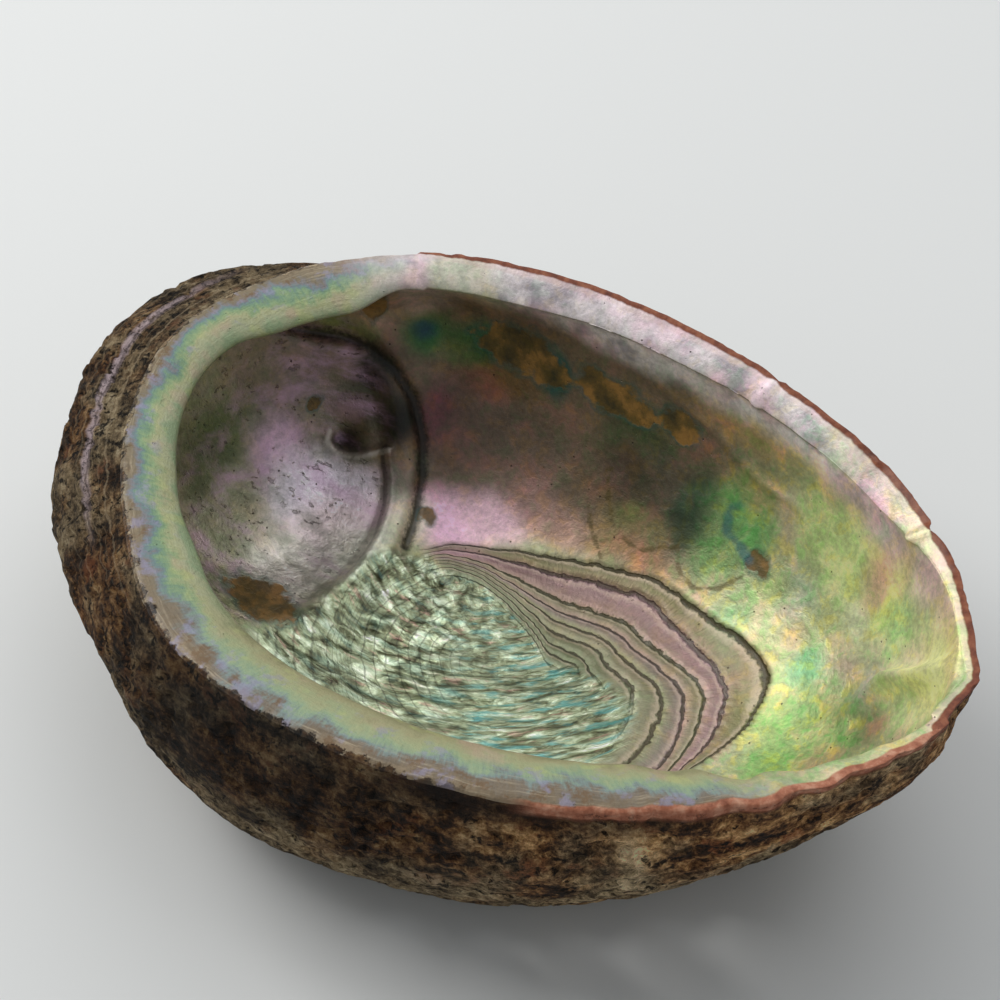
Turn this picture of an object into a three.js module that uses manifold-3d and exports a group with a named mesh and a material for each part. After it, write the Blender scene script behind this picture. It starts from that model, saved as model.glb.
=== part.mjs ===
// An abalone shell lying on its back with the aperture up, as one closed solid.
// Millimetres, +Z up. +X points to the growing (anterior) end, the spire is at -X,
// the broad inner lip and the row of respiratory holes are on the -Y side.
// The wall is a family of meridian sections: each one starts at the pole under the
// middle of the bowl, climbs the outside to the rim, rounds the rim and goes back
// down the inside. The section changes shape smoothly round the shell.

import * as THREE from 'three';
import { mergeVertices } from 'three/addons/utils/BufferGeometryUtils.js';
import Module from 'manifold-3d';

// ---- driving dimensions ----

const RIM_HEIGHT = 61;          // rim above the surface that the shell lies on
const WALL = 5.5;               // wall at the spire and inner-lip side
const OUTER_LIP_THINNING = 1.0; // how much thinner the wall is at the outer lip
const PAD_FRACTION = 0.30;      // part of each section that is flat underneath
const LIP_FALL = 0.28;          // how steeply the lip slopes into the bowl
const CAP_RISE = 2.2;           // crown of the rounded rim
const POLE = new THREE.Vector2(-10, 2);

// Plan outline of the rim, anticlockwise from the growing end.
const RIM_OUTLINE = [
  [91, 6], [85, 26], [68, 46], [42, 61], [8, 71], [-32, 73], [-64, 64], [-87, 44],
  [-98, 17], [-93, -9], [-76, -35], [-47, -59], [-8, -65], [33, -57], [64, -38], [84, -13],
].map(([x, y]) => new THREE.Vector2(x, y));

// Width of the lip seen from above, by the angle round the bowl in degrees.
const LIP_WIDTHS = [
  [0, 6], [20, 5], [45, 4.5], [90, 4.5], [120, 5], [135, 8], [148, 14], [158, 13.5],
  [168, 11], [182, 11], [202, 12], [222, 14], [239, 15.5], [264, 14.5], [290, 14.5],
  [311, 15.5], [325, 15.5], [332, 13], [339, 8.5], [350, 7], [360, 6],
];

// The sides of the shell: the angle of the middle of each, and its half width.
const SPIRE_END = [185, 95];
const HOLE_SIDE = [262, 75];
const HOLE_CORNER = [225, 70];
const OUTER_LIP = [95, 90];
const GROWING_END = [0, 70];

// Crust built up beside the rim, from the far side round the spire end: the angles where it
// starts and ends, how far it stands out and up, and how much of it thickens the wall.
const SHOULDER = { from: [138, 156], to: [195, 232], high: [168, 205], out: 5.5, up: 6, wall: 4.5 };

// The cup inside the spire: an oval hollow with a curved ledge at its right.
const CUP = { x: -84, y: 14, halfX: 31, halfY: 42, depth: 3.5 };
const LEDGE = { height: 4.5, width: 7, from: -30, to: 75 };
const APEX_PIT = { x: -74, y: 37, radius: 6, depth: 2.5 };

// The low spire outside, and the groove that winds round it.
const SPIRE = { x: -72, y: 32, radius: 36, height: 2.6 };
const SUTURE = { depth: 1.4, halfWidth: 0.16, turnGrowth: 3 };

// Open respiratory holes: the angle round the bowl, the place between the pole (0)
// and the rim (1), and the diameter.
const HOLES = [[284, 0.53, 5.5], [301, 0.535, 6], [318, 0.54, 6.5], [334, 0.545, 7]];
const HOLE_LENGTHEN = 1.35;     // holes are longer along the row than across it
const HOLE_COLLAR = 1.6;        // width of the raised collar round each hole
const COLLAR_RISE = 0.9;        // how far a collar stands out from the keel
const BAR_INWARD = 14;          // reach of the cutting bars, past both faces of the wall
const BAR_OUTWARD = 10;
const CARINA = { height: 1.2, place: 0.55, halfWidth: 0.10 };

// Fineness of the solid.
const MERIDIANS = 72;
const WALL_ROWS = 22;
const CAP_ROWS = 3;
const HOLE_SIDES = 14;

const DEG = Math.PI / 180;

// ---- small functions ----

const clamp01 = (x) => Math.min(1, Math.max(0, x));

// 1 at the centre of a side, falling as a cosine to 0 at its half width.
function lobe(angle, [centre, halfWidth]) {
  const off = Math.abs(((angle - centre + 540) % 360) - 180) / halfWidth;
  return off < 1 ? 0.5 * (1 + Math.cos(Math.PI * off)) : 0;
}

// 0 below a, 1 above b, with a smooth rise between them.
function rise(x, a, b) {
  const t = clamp01((x - a) / (b - a));
  return t * t * (3 - 2 * t);
}

// A bell of height 1 and the given width.
const bell = (distance, width) => Math.exp(-((distance / width) ** 2));

// Uniform Catmull-Rom value between b and c, for numbers.
function catmull(a, b, c, d, t) {
  return 0.5 * (2 * b + (c - a) * t + (2 * a - 5 * b + 4 * c - d) * t * t
    + (3 * b - a - 3 * c + d) * t * t * t);
}

// A point of the closed rim outline, t from 0 to 1.
function rimPoint(t) {
  const n = RIM_OUTLINE.length;
  const place = t * n;
  const i = Math.floor(place);
  const [a, b, c, d] = [-1, 0, 1, 2].map((k) => RIM_OUTLINE[(i + k + n) % n]);
  return new THREE.Vector2(
    catmull(a.x, b.x, c.x, d.x, place - i),
    catmull(a.y, b.y, c.y, d.y, place - i),
  );
}

function lipWidth(angle) {
  const i = LIP_WIDTHS.findLastIndex(([a]) => a <= angle);
  const [from, wide] = LIP_WIDTHS[i];
  const [to, next] = LIP_WIDTHS[Math.min(i + 1, LIP_WIDTHS.length - 1)];
  const t = to > from ? 0.5 - 0.5 * Math.cos(Math.PI * (angle - from) / (to - from)) : 0;
  return wide + (next - wide) * t;
}

// ---- relief: how far a surface stands out from the smooth section ----

// Outside: the low spire with its winding groove, and the keel along the holes.
function outsideRelief(x, y, angle, s) {
  const reach = Math.hypot(x - SPIRE.x, y - SPIRE.y);
  const dome = reach < SPIRE.radius ? SPIRE.height * (1 - (reach / SPIRE.radius) ** 2) ** 2 : 0;
  const turn = Math.atan2(y - SPIRE.y, x - SPIRE.x) / (2 * Math.PI);
  const winding = Math.log(Math.max(reach, 1) / SPIRE.radius) / Math.log(SUTURE.turnGrowth);
  const phase = winding - turn - Math.round(winding - turn);
  const groove = reach < SPIRE.radius ? SUTURE.depth * bell(phase, SUTURE.halfWidth) : 0;
  const keel = CARINA.height * lobe(angle, [290, 85]) * bell(s - CARINA.place, CARINA.halfWidth);
  return dome - groove * rise(reach, 3, 10) + keel;
}

// Inside: the cup is sunk, its ledge stands up, and the apex pit is sunk again.
function insideRelief(x, y) {
  const u = (x - CUP.x) / CUP.halfX;
  const v = (y - CUP.y) / CUP.halfY;
  const place = Math.hypot(u, v);
  const bearing = Math.atan2(v, u) / DEG;
  const middle = (LEDGE.from + LEDGE.to) / 2;
  const window = lobe(bearing, [middle, (LEDGE.to - LEDGE.from) / 2 + 15]);
  const out = (place - 1) * CUP.halfX;
  const ledge = LEDGE.height * bell(out - 1, LEDGE.width) * window;
  const sunk = CUP.depth * (1 - rise(place, 0.45, 1)) * rise(x, -105, -85);
  const pit = APEX_PIT.depth * bell(Math.hypot(x - APEX_PIT.x, y - APEX_PIT.y), APEX_PIT.radius);
  return ledge - sunk - pit;
}

// ---- one meridian section ----

// The section's outside at s from 0 (pole) to 1 (rim), as distance out and height.
function outsideControls(angle, reach) {
  const spire = lobe(angle, SPIRE_END);
  const holes = lobe(angle, HOLE_SIDE);
  const corner = lobe(angle, HOLE_CORNER);
  const outer = lobe(angle, OUTER_LIP);
  const front = lobe(angle, GROWING_END);
  const crust = rise(angle, ...SHOULDER.from);
  const shoulder = crust * (1 - rise(angle, ...SHOULDER.to));
  const raised = SHOULDER.up * crust * (1 - rise(angle, ...SHOULDER.high));
  const bulge = 13 * lobe(angle, [172, 80]) + 6 * lobe(angle, [235, 60])
    + 3 * lobe(angle, [290, 60]) + SHOULDER.out * shoulder;
  const top = RIM_HEIGHT - 1.5 * spire - outer - 2 * front;
  const turn = 0.87 + 0.07 * holes + 0.06 * corner + 0.03 * spire - 0.04 * front - 0.02 * outer;
  const controls = [
    [-PAD_FRACTION * reach, 0],
    [0, 0],
    [PAD_FRACTION * reach, 0],
    [reach * (0.60 + 0.06 * holes + 0.05 * spire), 4 - 1.5 * holes + front + 1.5 * outer],
    [reach * turn, 18 - spire - holes + 3 * outer + 2 * front - 2 * corner],
    [reach + bulge - 3 * outer - 3.5 * front, 39 + 2 * spire + 2 * outer + 2 * front + raised],
    [reach, top],
  ];
  const [before, last] = controls.slice(-2);
  controls.push([
    2 * last[0] - before[0] - 1.6 * bulge,
    2 * last[1] - before[1] - 0.5 * bulge,
  ]);
  return {
    controls, top, thinning: OUTER_LIP_THINNING * outer + 0.5 * front,
    thickening: SHOULDER.wall * shoulder,
  };
}

function alongControls(controls, s) {
  const spans = controls.length - 3;
  const place = Math.min(s * spans, spans - 1e-9);
  const i = Math.floor(place);
  const [a, b, c, d] = controls.slice(i, i + 4);
  const out = catmull(a[0], b[0], c[0], d[0], place - i);
  const up = catmull(a[1], b[1], c[1], d[1], place - i);
  return new THREE.Vector2(out, Math.max(up, 0));
}

// One section as a list of points from the outer pole round the rim to the inner pole.
function meridian(t) {
  const spoke = rimPoint(t).sub(POLE);
  const reach = spoke.length();
  const angle = (spoke.angle() / DEG) % 360;
  const { controls, top, thinning, thickening } = outsideControls(angle, reach);
  const width = lipWidth(angle);
  const lipEdge = new THREE.Vector2(reach - width, top - LIP_FALL * width);
  const place = (flat) => new THREE.Vector3(
    POLE.x + flat.x * spoke.x / reach,
    POLE.y + flat.x * spoke.y / reach,
    flat.y,
  );

  const outside = [];
  const inside = [];
  for (let row = 1; row <= WALL_ROWS; row += 1) {
    const s = row / WALL_ROWS;
    const here = alongControls(controls, s);
    const ahead = alongControls(controls, Math.min(s + 0.01, 1));
    const behind = alongControls(controls, s - 0.01);
    const along = ahead.sub(behind).normalize();
    const inward = new THREE.Vector2(-along.y, along.x);
    const spot = place(here);
    const fade = 1 - rise(s, 0.85, 1);
    const relief = outsideRelief(spot.x, spot.y, angle, s) * fade * rise(s, PAD_FRACTION, 0.5);
    outside.push(here.clone().addScaledVector(inward, -relief));

    const wall = WALL - thinning * rise(s, 0.1, 0.5) + thickening * rise(s, 0.6, 0.8);
    const lift = insideRelief(spot.x, spot.y) * fade;
    const face = here.clone().addScaledVector(inward, wall + lift);
    inside.unshift(face.lerp(lipEdge, rise(s, 0.80, 1)));
  }

  // The rim is rounded over from the outside edge to the lip's inner edge.
  const outerEdge = outside.at(-1);
  const innerEdge = inside[0];
  const crown = Math.min(CAP_RISE, 0.45 * width);
  const cap = [];
  for (let k = 1; k <= CAP_ROWS; k += 1) {
    const turn = Math.PI * k / (CAP_ROWS + 1);
    const point = outerEdge.clone().lerp(innerEdge, 0.5 - 0.5 * Math.cos(turn));
    point.y += crown * Math.sin(turn);
    cap.push(point);
  }
  return [...outside, ...cap, ...inside].map(place);
}

// ---- the closed solid ----

// A solid for joining and cutting, from a closed geometry.
function toSolid(wasm, geometry) {
  const bare = geometry.clone();
  bare.deleteAttribute('normal');
  bare.deleteAttribute('uv');
  const merged = mergeVertices(bare, 1e-4);
  return new wasm.Manifold(new wasm.Mesh({
    numProp: 3,
    vertProperties: new Float32Array(merged.attributes.position.array),
    triVerts: new Uint32Array(merged.index.array),
  }));
}

function toGeometry(solid) {
  const mesh = solid.getMesh();
  const geometry = new THREE.BufferGeometry();
  geometry.setAttribute('position', new THREE.BufferAttribute(mesh.vertProperties, 3));
  geometry.setIndex(new THREE.BufferAttribute(mesh.triVerts, 1));
  return geometry;
}

// The wall: rings of the sections' points, closed at both poles by fans.
function wallGeometry() {
  const sections = [];
  for (let i = 0; i < MERIDIANS; i += 1) {
    sections.push(meridian(i / MERIDIANS));
  }
  const rows = sections[0].length;
  const points = sections.flat();
  const outerPole = points.push(new THREE.Vector3(POLE.x, POLE.y, 0)) - 1;
  const innerPole = points.push(new THREE.Vector3(POLE.x, POLE.y, WALL)) - 1;
  const index = [];
  for (let i = 0; i < MERIDIANS; i += 1) {
    const a = i * rows;
    const b = ((i + 1) % MERIDIANS) * rows;
    index.push(outerPole, b, a);
    for (let row = 0; row < rows - 1; row += 1) {
      index.push(a + row, b + row, b + row + 1);
      index.push(a + row, b + row + 1, a + row + 1);
    }
    index.push(innerPole, a + rows - 1, b + rows - 1);
  }
  const geometry = new THREE.BufferGeometry().setFromPoints(points);
  geometry.setIndex(index);
  return geometry;
}

// The share of the outline whose spoke from the pole has the given angle.
function outlineShareAt(angle) {
  let best = 0;
  let least = Infinity;
  for (let i = 0; i < 720; i += 1) {
    const bearing = rimPoint(i / 720).sub(POLE).angle() / DEG;
    const off = Math.abs(((bearing - angle + 540) % 360) - 180);
    if (off < least) {
      least = off;
      best = i / 720;
    }
  }
  return best;
}

// A round bar through the wall at a hole, or the collar that stands round it.
function holeBar(angle, step, diameter, inner, outer) {
  const spoke = rimPoint(outlineShareAt(angle)).sub(POLE);
  const reach = spoke.length();
  const { controls } = outsideControls(angle, reach);
  const here = alongControls(controls, step);
  const ahead = alongControls(controls, step + 0.01);
  const slope = ahead.sub(here).normalize();
  const [cos, sin] = [spoke.x / reach, spoke.y / reach];
  const outward = new THREE.Vector3(slope.y * cos, slope.y * sin, -slope.x);
  const centre = new THREE.Vector3(POLE.x + here.x * cos, POLE.y + here.x * sin, here.y);
  const bar = new THREE.CylinderGeometry(diameter / 2, diameter / 2, inner + outer, HOLE_SIDES);
  const around = new THREE.Vector3(-sin, cos, 0);
  const across = new THREE.Vector3().crossVectors(around, outward);
  bar.translate(0, (outer - inner) / 2, 0);
  bar.scale(HOLE_LENGTHEN, 1, 1);
  bar.applyMatrix4(new THREE.Matrix4().makeBasis(around, outward, across).setPosition(centre));
  return bar;
}

function shellGeometry(wasm) {
  let solid = toSolid(wasm, wallGeometry());
  for (const [angle, step, diameter] of HOLES) {
    const wide = diameter + 2 * HOLE_COLLAR;
    const collar = holeBar(angle, step, wide, 2, CARINA.height + COLLAR_RISE);
    solid = solid.add(toSolid(wasm, collar));
  }
  for (const [angle, step, diameter] of HOLES) {
    const bar = holeBar(angle, step, diameter, BAR_INWARD, BAR_OUTWARD);
    solid = solid.subtract(toSolid(wasm, bar));
  }
  const geometry = toGeometry(solid);
  geometry.computeBoundingBox();
  const { min, max } = geometry.boundingBox;
  geometry.translate(-(min.x + max.x) / 2, -(min.y + max.y) / 2, -min.z);
  geometry.computeVertexNormals();
  return geometry;
}

// ---- the part ----

const wasm = await Module();
wasm.setup();

const nacre = new THREE.MeshStandardMaterial({ color: 0x9fa889, roughness: 0.35, metalness: 0.4 });
const shell = new THREE.Mesh(shellGeometry(wasm), nacre);
shell.name = 'shell';

const part = new THREE.Group();
part.add(shell);

export default part;
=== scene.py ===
"""An abalone shell lying on its back with the aperture up.

The outside is a rough brown crust with growth lines, the inside is iridescent nacre, and
the outer lip has a red-brown edge. Lengths are in millimetres until the mesh is made.
+X points to the growing end, the spire is at -X, the broad inner lip is on the -Y side.

The wall is a family of sections round a pole under the middle of the bowl. A point of it
is named by t, its share of the way round the rim, and s, its place from the pole to the rim.
"""

import math

import bpy
import numpy as np
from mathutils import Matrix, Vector


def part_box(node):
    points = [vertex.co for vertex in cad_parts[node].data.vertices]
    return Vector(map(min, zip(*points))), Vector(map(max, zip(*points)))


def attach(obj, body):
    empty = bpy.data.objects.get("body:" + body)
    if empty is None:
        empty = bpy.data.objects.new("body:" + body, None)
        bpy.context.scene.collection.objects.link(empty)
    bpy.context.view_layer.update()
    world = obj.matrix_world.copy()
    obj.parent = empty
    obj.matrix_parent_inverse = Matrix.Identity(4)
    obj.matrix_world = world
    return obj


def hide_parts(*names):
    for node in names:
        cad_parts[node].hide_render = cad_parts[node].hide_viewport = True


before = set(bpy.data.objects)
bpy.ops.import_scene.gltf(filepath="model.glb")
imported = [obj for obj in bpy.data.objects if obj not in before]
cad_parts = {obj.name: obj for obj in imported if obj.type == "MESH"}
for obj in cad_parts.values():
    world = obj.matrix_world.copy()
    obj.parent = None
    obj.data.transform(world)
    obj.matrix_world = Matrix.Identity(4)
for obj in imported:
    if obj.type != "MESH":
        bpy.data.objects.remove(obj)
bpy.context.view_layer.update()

# ---- sizes of the shell ----

RIM_HEIGHT = 61.0
WALL = 5.5
PAD = 0.30
LIP_FALL = 0.28
CAP_RISE = 2.2
POLE = (-10.0, 2.0)
RIM_OUTLINE = np.array([
    (91, 6), (85, 26), (68, 46), (42, 61), (8, 71), (-32, 73), (-64, 64), (-87, 44),
    (-98, 17), (-93, -9), (-76, -35), (-47, -59), (-8, -65), (33, -57), (64, -38), (84, -13),
], float)
RIM_LENGTH = 545.0

# Width of the lip seen from above, by the angle round the bowl.
LIP_WIDTHS = np.array([
    (0, 3.2), (20, 2.8), (45, 3.2), (90, 4), (120, 5), (135, 8), (148, 14), (158, 13.5),
    (168, 11), (182, 11), (202, 12), (222, 14), (239, 15.5), (264, 14.5), (290, 14.5),
    (311, 15.5), (325, 15.5), (332, 13), (339, 8), (350, 5), (360, 3.2),
], float)

# Open breathing holes: angle round the bowl, place s and diameter. Older ones are closed
# bumps: angle and place.
HOLES = ((284, 0.53, 5.5), (301, 0.535, 6.0), (318, 0.54, 6.5), (334, 0.545, 7.0))
HOLE_LENGTHEN = 1.35
CLOSED_HOLES = ((270, 0.535), (257, 0.54), (245, 0.55), (234, 0.56), (224, 0.575))

# The spire's cup: middle in x and y, and its two half widths. The spire's dome outside.
CUP = (-84.0, 14.0, 31.0, 42.0)
APEX = (-72.0, 32.0)
DOME_REACH = 36

# Two small breaks in the outer lip, by the angle round the bowl.
BREAKS = (64, 29)

# Rows of the mesh: the band with the holes has the same rows outside and inside.
COLUMNS = 432
BAND = (0.46, 0.61)
BAND_ROWS = 24
OUT_LOW_ROWS = 12
OUT_HIGH_ROWS = 40
CAP_ROWS = 13
IN_HIGH_ROWS = 64
IN_LOW_ROWS = 52


# ---- small functions on arrays ----

def rise(x, a, b):
    """0 below a, 1 above b, a smooth cubic between."""
    t = np.clip((x - a) / (b - a), 0, 1)
    return t * t * (3 - 2 * t)


def lobe(angle, centre, half_width):
    """1 at the centre angle, falling as a cosine to 0 at the half width."""
    off = np.abs((angle - centre + 540) % 360 - 180) / half_width
    return np.where(off < 1, 0.5 + 0.5 * np.cos(np.pi * np.minimum(off, 1)), 0)


def bell(distance, width):
    """A bell of height 1: e to minus the square of distance over width."""
    return np.exp(-((distance / width) ** 2))


def catmull(a, b, c, d, t):
    """Uniform Catmull-Rom value between b and c."""
    return 0.5 * (2 * b + (c - a) * t + (2 * a - 5 * b + 4 * c - d) * t ** 2
                  + (3 * b - a - 3 * c + d) * t ** 3)


def scatter(x, y, z, seed):
    """A number from 0 to 1 for each whole-number place, by mixing its digits."""
    mixed = (x * 374761393 + y * 668265263 + z * 1103515245 + seed * 144665) & 0xFFFFFFFF
    mixed = ((mixed ^ (mixed >> 13)) * 1274126177) & 0xFFFFFFFF
    mixed = ((mixed ^ (mixed >> 16)) * 461845907) & 0xFFFFFFFF
    return (mixed ^ (mixed >> 15)) / 0xFFFFFFFF


def grain(points, size, seed=0):
    """Value noise from -1 to 1: scattered values a cell apart, blended smoothly."""
    scaled = points / size
    low = np.floor(scaled).astype(np.int64)
    part = scaled - low
    part = part * part * (3 - 2 * part)
    total = 0
    for dx in (0, 1):
        for dy in (0, 1):
            for dz in (0, 1):
                share = (np.where(dx, part[..., 0], 1 - part[..., 0])
                         * np.where(dy, part[..., 1], 1 - part[..., 1])
                         * np.where(dz, part[..., 2], 1 - part[..., 2]))
                total = total + share * scatter(
                    low[..., 0] + dx, low[..., 1] + dy, low[..., 2] + dz, seed)
    return 2 * total - 1


def rough(points, size, octaves=4, seed=0, keep=0.5):
    """Fractal noise: grain at halved sizes, each layer keep times as strong."""
    total, strength = 0, 1.0
    for layer in range(octaves):
        total = total + strength * grain(points, size / 2 ** layer, seed + 17 * layer)
        strength *= keep
    return total * (1 - keep) / (1 - keep ** octaves)


def cells(points, size, seed=0):
    """Distance to the nearest of scattered points, one in each cell, in cell sizes."""
    scaled = points / size
    low = np.floor(scaled).astype(np.int64)
    nearest = np.full(points.shape[:-1], 9.0)
    for dx in (-1, 0, 1):
        for dy in (-1, 0, 1):
            for dz in (-1, 0, 1):
                cell = low + np.array((dx, dy, dz))
                spot = np.stack([
                    cell[..., k] + scatter(cell[..., 0], cell[..., 1], cell[..., 2], seed + k)
                    for k in range(3)
                ], -1)
                nearest = np.minimum(nearest, np.linalg.norm(spot - scaled, axis=-1))
    return nearest


def from_path(points, path):
    """Distance from each point to a line through the path's points, and the share along it."""
    path = np.array(path, float)
    lengths = np.linalg.norm(np.diff(path, axis=0), axis=1)
    starts = np.concatenate([[0], np.cumsum(lengths)])
    best = np.full(points.shape[:-1], 1e9)
    share = np.zeros(points.shape[:-1])
    for k, (a, b) in enumerate(zip(path[:-1], path[1:])):
        along = np.clip(((points - a) @ (b - a)) / lengths[k] ** 2, 0, 1)
        gap = np.linalg.norm(points - (a + along[..., None] * (b - a)), axis=-1)
        closer = gap < best
        best = np.where(closer, gap, best)
        share = np.where(closer, (starts[k] + along * lengths[k]) / starts[-1], share)
    return best, share


def by_angle(angle, table):
    """A value by angle in degrees from a table, closed round the circle."""
    table = np.array(table, float)
    return np.interp(angle, table[:, 0], table[:, 1], period=360)


# ---- the sections ----

def rim_point(t):
    """The closed rim outline: a Catmull-Rom curve through its points, t from 0 to 1."""
    count = len(RIM_OUTLINE)
    place = (t % 1) * count
    low = np.floor(place).astype(int)
    near = [RIM_OUTLINE[(low + k) % count] for k in (-1, 0, 1, 2)]
    return catmull(*near, (place - low)[..., None])


def spokes(t):
    """Angle in degrees, length and direction of the spoke from the pole to the rim at t."""
    spoke = rim_point(t) - POLE
    reach = np.hypot(spoke[..., 0], spoke[..., 1])
    angle = np.degrees(np.arctan2(spoke[..., 1], spoke[..., 0])) % 360
    return angle, reach, spoke / reach[..., None]


def lip_width(angle):
    """The lip's width, a cosine step between the values of the table."""
    low = np.clip(np.searchsorted(LIP_WIDTHS[:, 0], angle, "right") - 1, 0, len(LIP_WIDTHS) - 2)
    part = (angle - LIP_WIDTHS[low, 0]) / (LIP_WIDTHS[low + 1, 0] - LIP_WIDTHS[low, 0])
    part = 0.5 - 0.5 * np.cos(np.pi * part)
    return LIP_WIDTHS[low, 1] * (1 - part) + LIP_WIDTHS[low + 1, 1] * part


def section_controls(angle, reach):
    """Control points of the outside line, as distances out and heights, with the rim height
    and how much thinner and how much thicker the wall is there."""
    spire = lobe(angle, 185, 95)
    holes = lobe(angle, 262, 75)
    corner = lobe(angle, 225, 70)
    outer = lobe(angle, 95, 90)
    front = lobe(angle, 0, 70)
    crust = rise(angle, 143, 162)
    shoulder = crust * (1 - rise(angle, 195, 232))
    raised = 6 * crust * (1 - rise(angle, 168, 205))
    bulge = (13 * lobe(angle, 172, 80) + 6 * lobe(angle, 235, 60) + 3 * lobe(angle, 290, 60)
             + 5.5 * shoulder)
    top = RIM_HEIGHT - 1.5 * spire - outer - 2 * front
    turn = 0.87 + 0.07 * holes + 0.06 * corner + 0.03 * spire - 0.04 * front - 0.02 * outer
    none = 0 * angle
    points = [
        (-PAD * reach, none),
        (none, none),
        (PAD * reach, none),
        (reach * (0.60 + 0.06 * holes + 0.05 * spire), 4 - 1.5 * holes + front + 1.5 * outer),
        (reach * turn, 18 - spire - holes + 3 * outer + 2 * front - 2 * corner),
        (reach + bulge - 3 * outer - 3.5 * front, 39 + 2 * spire + 2 * outer + 2 * front + raised),
        (reach, top),
    ]
    (before_out, before_up), (last_out, last_up) = points[-2:]
    points.append((2 * last_out - before_out - 1.6 * bulge, 2 * last_up - before_up - 0.5 * bulge))
    controls = np.stack([np.stack(point, -1) for point in points])
    return controls, top, outer + 0.5 * front, 4.5 * shoulder


def along_controls(controls, s):
    """The outside line at s: a Catmull-Rom curve through the controls, kept above the ground."""
    spans = len(controls) - 3
    place = np.clip(s * spans, 0, spans - 1e-9)
    low = np.floor(place).astype(int)
    near = [
        np.take_along_axis(controls, (low + k)[None, ..., None], axis=0)[0] for k in range(4)
    ]
    line = catmull(*near, (place - low)[..., None])
    line[..., 1] = np.maximum(line[..., 1], 0)
    return line


def fringe(angle, t):
    """How far the rim's edge stands out or is broken back: scallops at the near side of the
    growing end, two small breaks and a step in the outer lip, and fine raggedness."""
    scallops = 0.7 * np.sin(2 * np.pi * t * RIM_LENGTH / 13) * lobe(angle, 337, 26)
    breaks = -1.1 * bell(angle - BREAKS[0], 0.8) - 1.3 * bell(angle - BREAKS[1], 0.9)
    breaks = breaks + 1.6 * bell(angle - 7.5, 2.4) - 1.0 * bell(angle - 1.5, 2.6)
    step = 0.9 * rise(angle, 132.6, 133.4) * (1 - rise(angle, 136, 150))
    thin = lobe(angle, 60, 80) + lobe(angle, 335, 40)
    place = np.stack([t * RIM_LENGTH, 0 * t, 0 * t], -1)
    ragged = 0.35 * rough(place, 9, 4, 5) * (0.4 + thin)
    return scallops + breaks - step + ragged


def smooth_wall(t, s):
    """The smooth wall at t and s: plan position and height of its outside, the way in, the
    inside before its relief, and the section's values that later steps need."""
    angle, reach, spoke = spokes(t)
    controls, top, thinning, thickening = section_controls(angle, reach)
    line = along_controls(controls, s)
    ahead = along_controls(controls, np.minimum(s + 0.01, 1))
    behind = along_controls(controls, s - 0.01)
    slope = (ahead - behind) / np.linalg.norm(ahead - behind, axis=-1, keepdims=True)
    inward = np.stack([-slope[..., 1], slope[..., 0]], -1)
    bevel = rise(lobe(angle, 78, 70), 0, 0.35)
    width = lip_width(angle) + 2.6 * bevel
    fall = LIP_FALL * width + 3.0 * bevel
    return {
        "angle": angle, "reach": reach, "spoke": spoke, "top": top, "line": line,
        "inward": inward, "width": width,
        "wall": WALL - thinning * rise(s, 0.1, 0.5) + thickening * rise(s, 0.6, 0.8),
        "lip": np.stack([reach - width, top - fall], -1), "bevel": bevel,
        "edge": fringe(angle, t), "t": t, "s": s,
    }


def placed(wall, flat):
    """A section's point, out and up, as a point in space."""
    plan = np.array(POLE) + flat[..., :1] * wall["spoke"]
    return np.concatenate([plan, flat[..., 1:]], -1)


# ---- the inside's relief and its places ----

# The muscle scar: its outer line as bearing and distance from its centre, the width of its
# bands by bearing, and the terrace lines counted in band widths from the outer line.
SCAR_CENTRE = (0.0, 5.0)
SCAR_LINE = (
    (-3, 38), (12, 44), (22, 48.5), (33, 50), (43, 45), (58, 40), (75, 38.3), (95, 37),
    (114, 37), (133, 41), (149, 48), (180, 52), (230, 40), (270, 33), (320, 35),
)
SCAR_TERRACES = (
    (-25, 0.6, 3.0, 6.0, 10.0, 16.0, 23.0), (-5, 0.8, 3.0, 4.8, 11.0, 17.0, 24.0),
    (12, 4.5, 8.5, 12.0, 17.0, 24.0, 31.0), (25, 9.0, 13.3, 17.3, 22.0, 29.0, 36.0),
    (35, 10.0, 15.0, 19.0, 23.0, 28.0, 34.0), (52, 6.5, 13.0, 16.5, 20.0, 24.0, 28.5),
    (75, 4.0, 11.5, 14.2, 17.0, 20.3, 24.2), (95, 3.9, 11.0, 13.8, 16.6, 19.8, 23.5),
    (114, 3.8, 10.5, 13.4, 16.2, 19.3, 22.8), (133, 2.6, 7.0, 9.0, 11.0, 13.0, 15.5),
    (149, 0.8, 2.0, 2.8, 3.6, 4.4, 5.2), (250, 0.8, 2.0, 2.8, 3.6, 4.4, 5.2),
)
FOIL_STARTS = ((-40, 4.4), (20, 4.9), (60, 6.2), (95, 7.8), (130, 8.4), (155, 6), (250, 5))
# The foil's oval: middle in x and y, and its two half widths.
FOIL = (-14.0, -3.0, 51.0, 34.0)
STREAK_CENTRE = (-35.0, 45.0)

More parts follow.
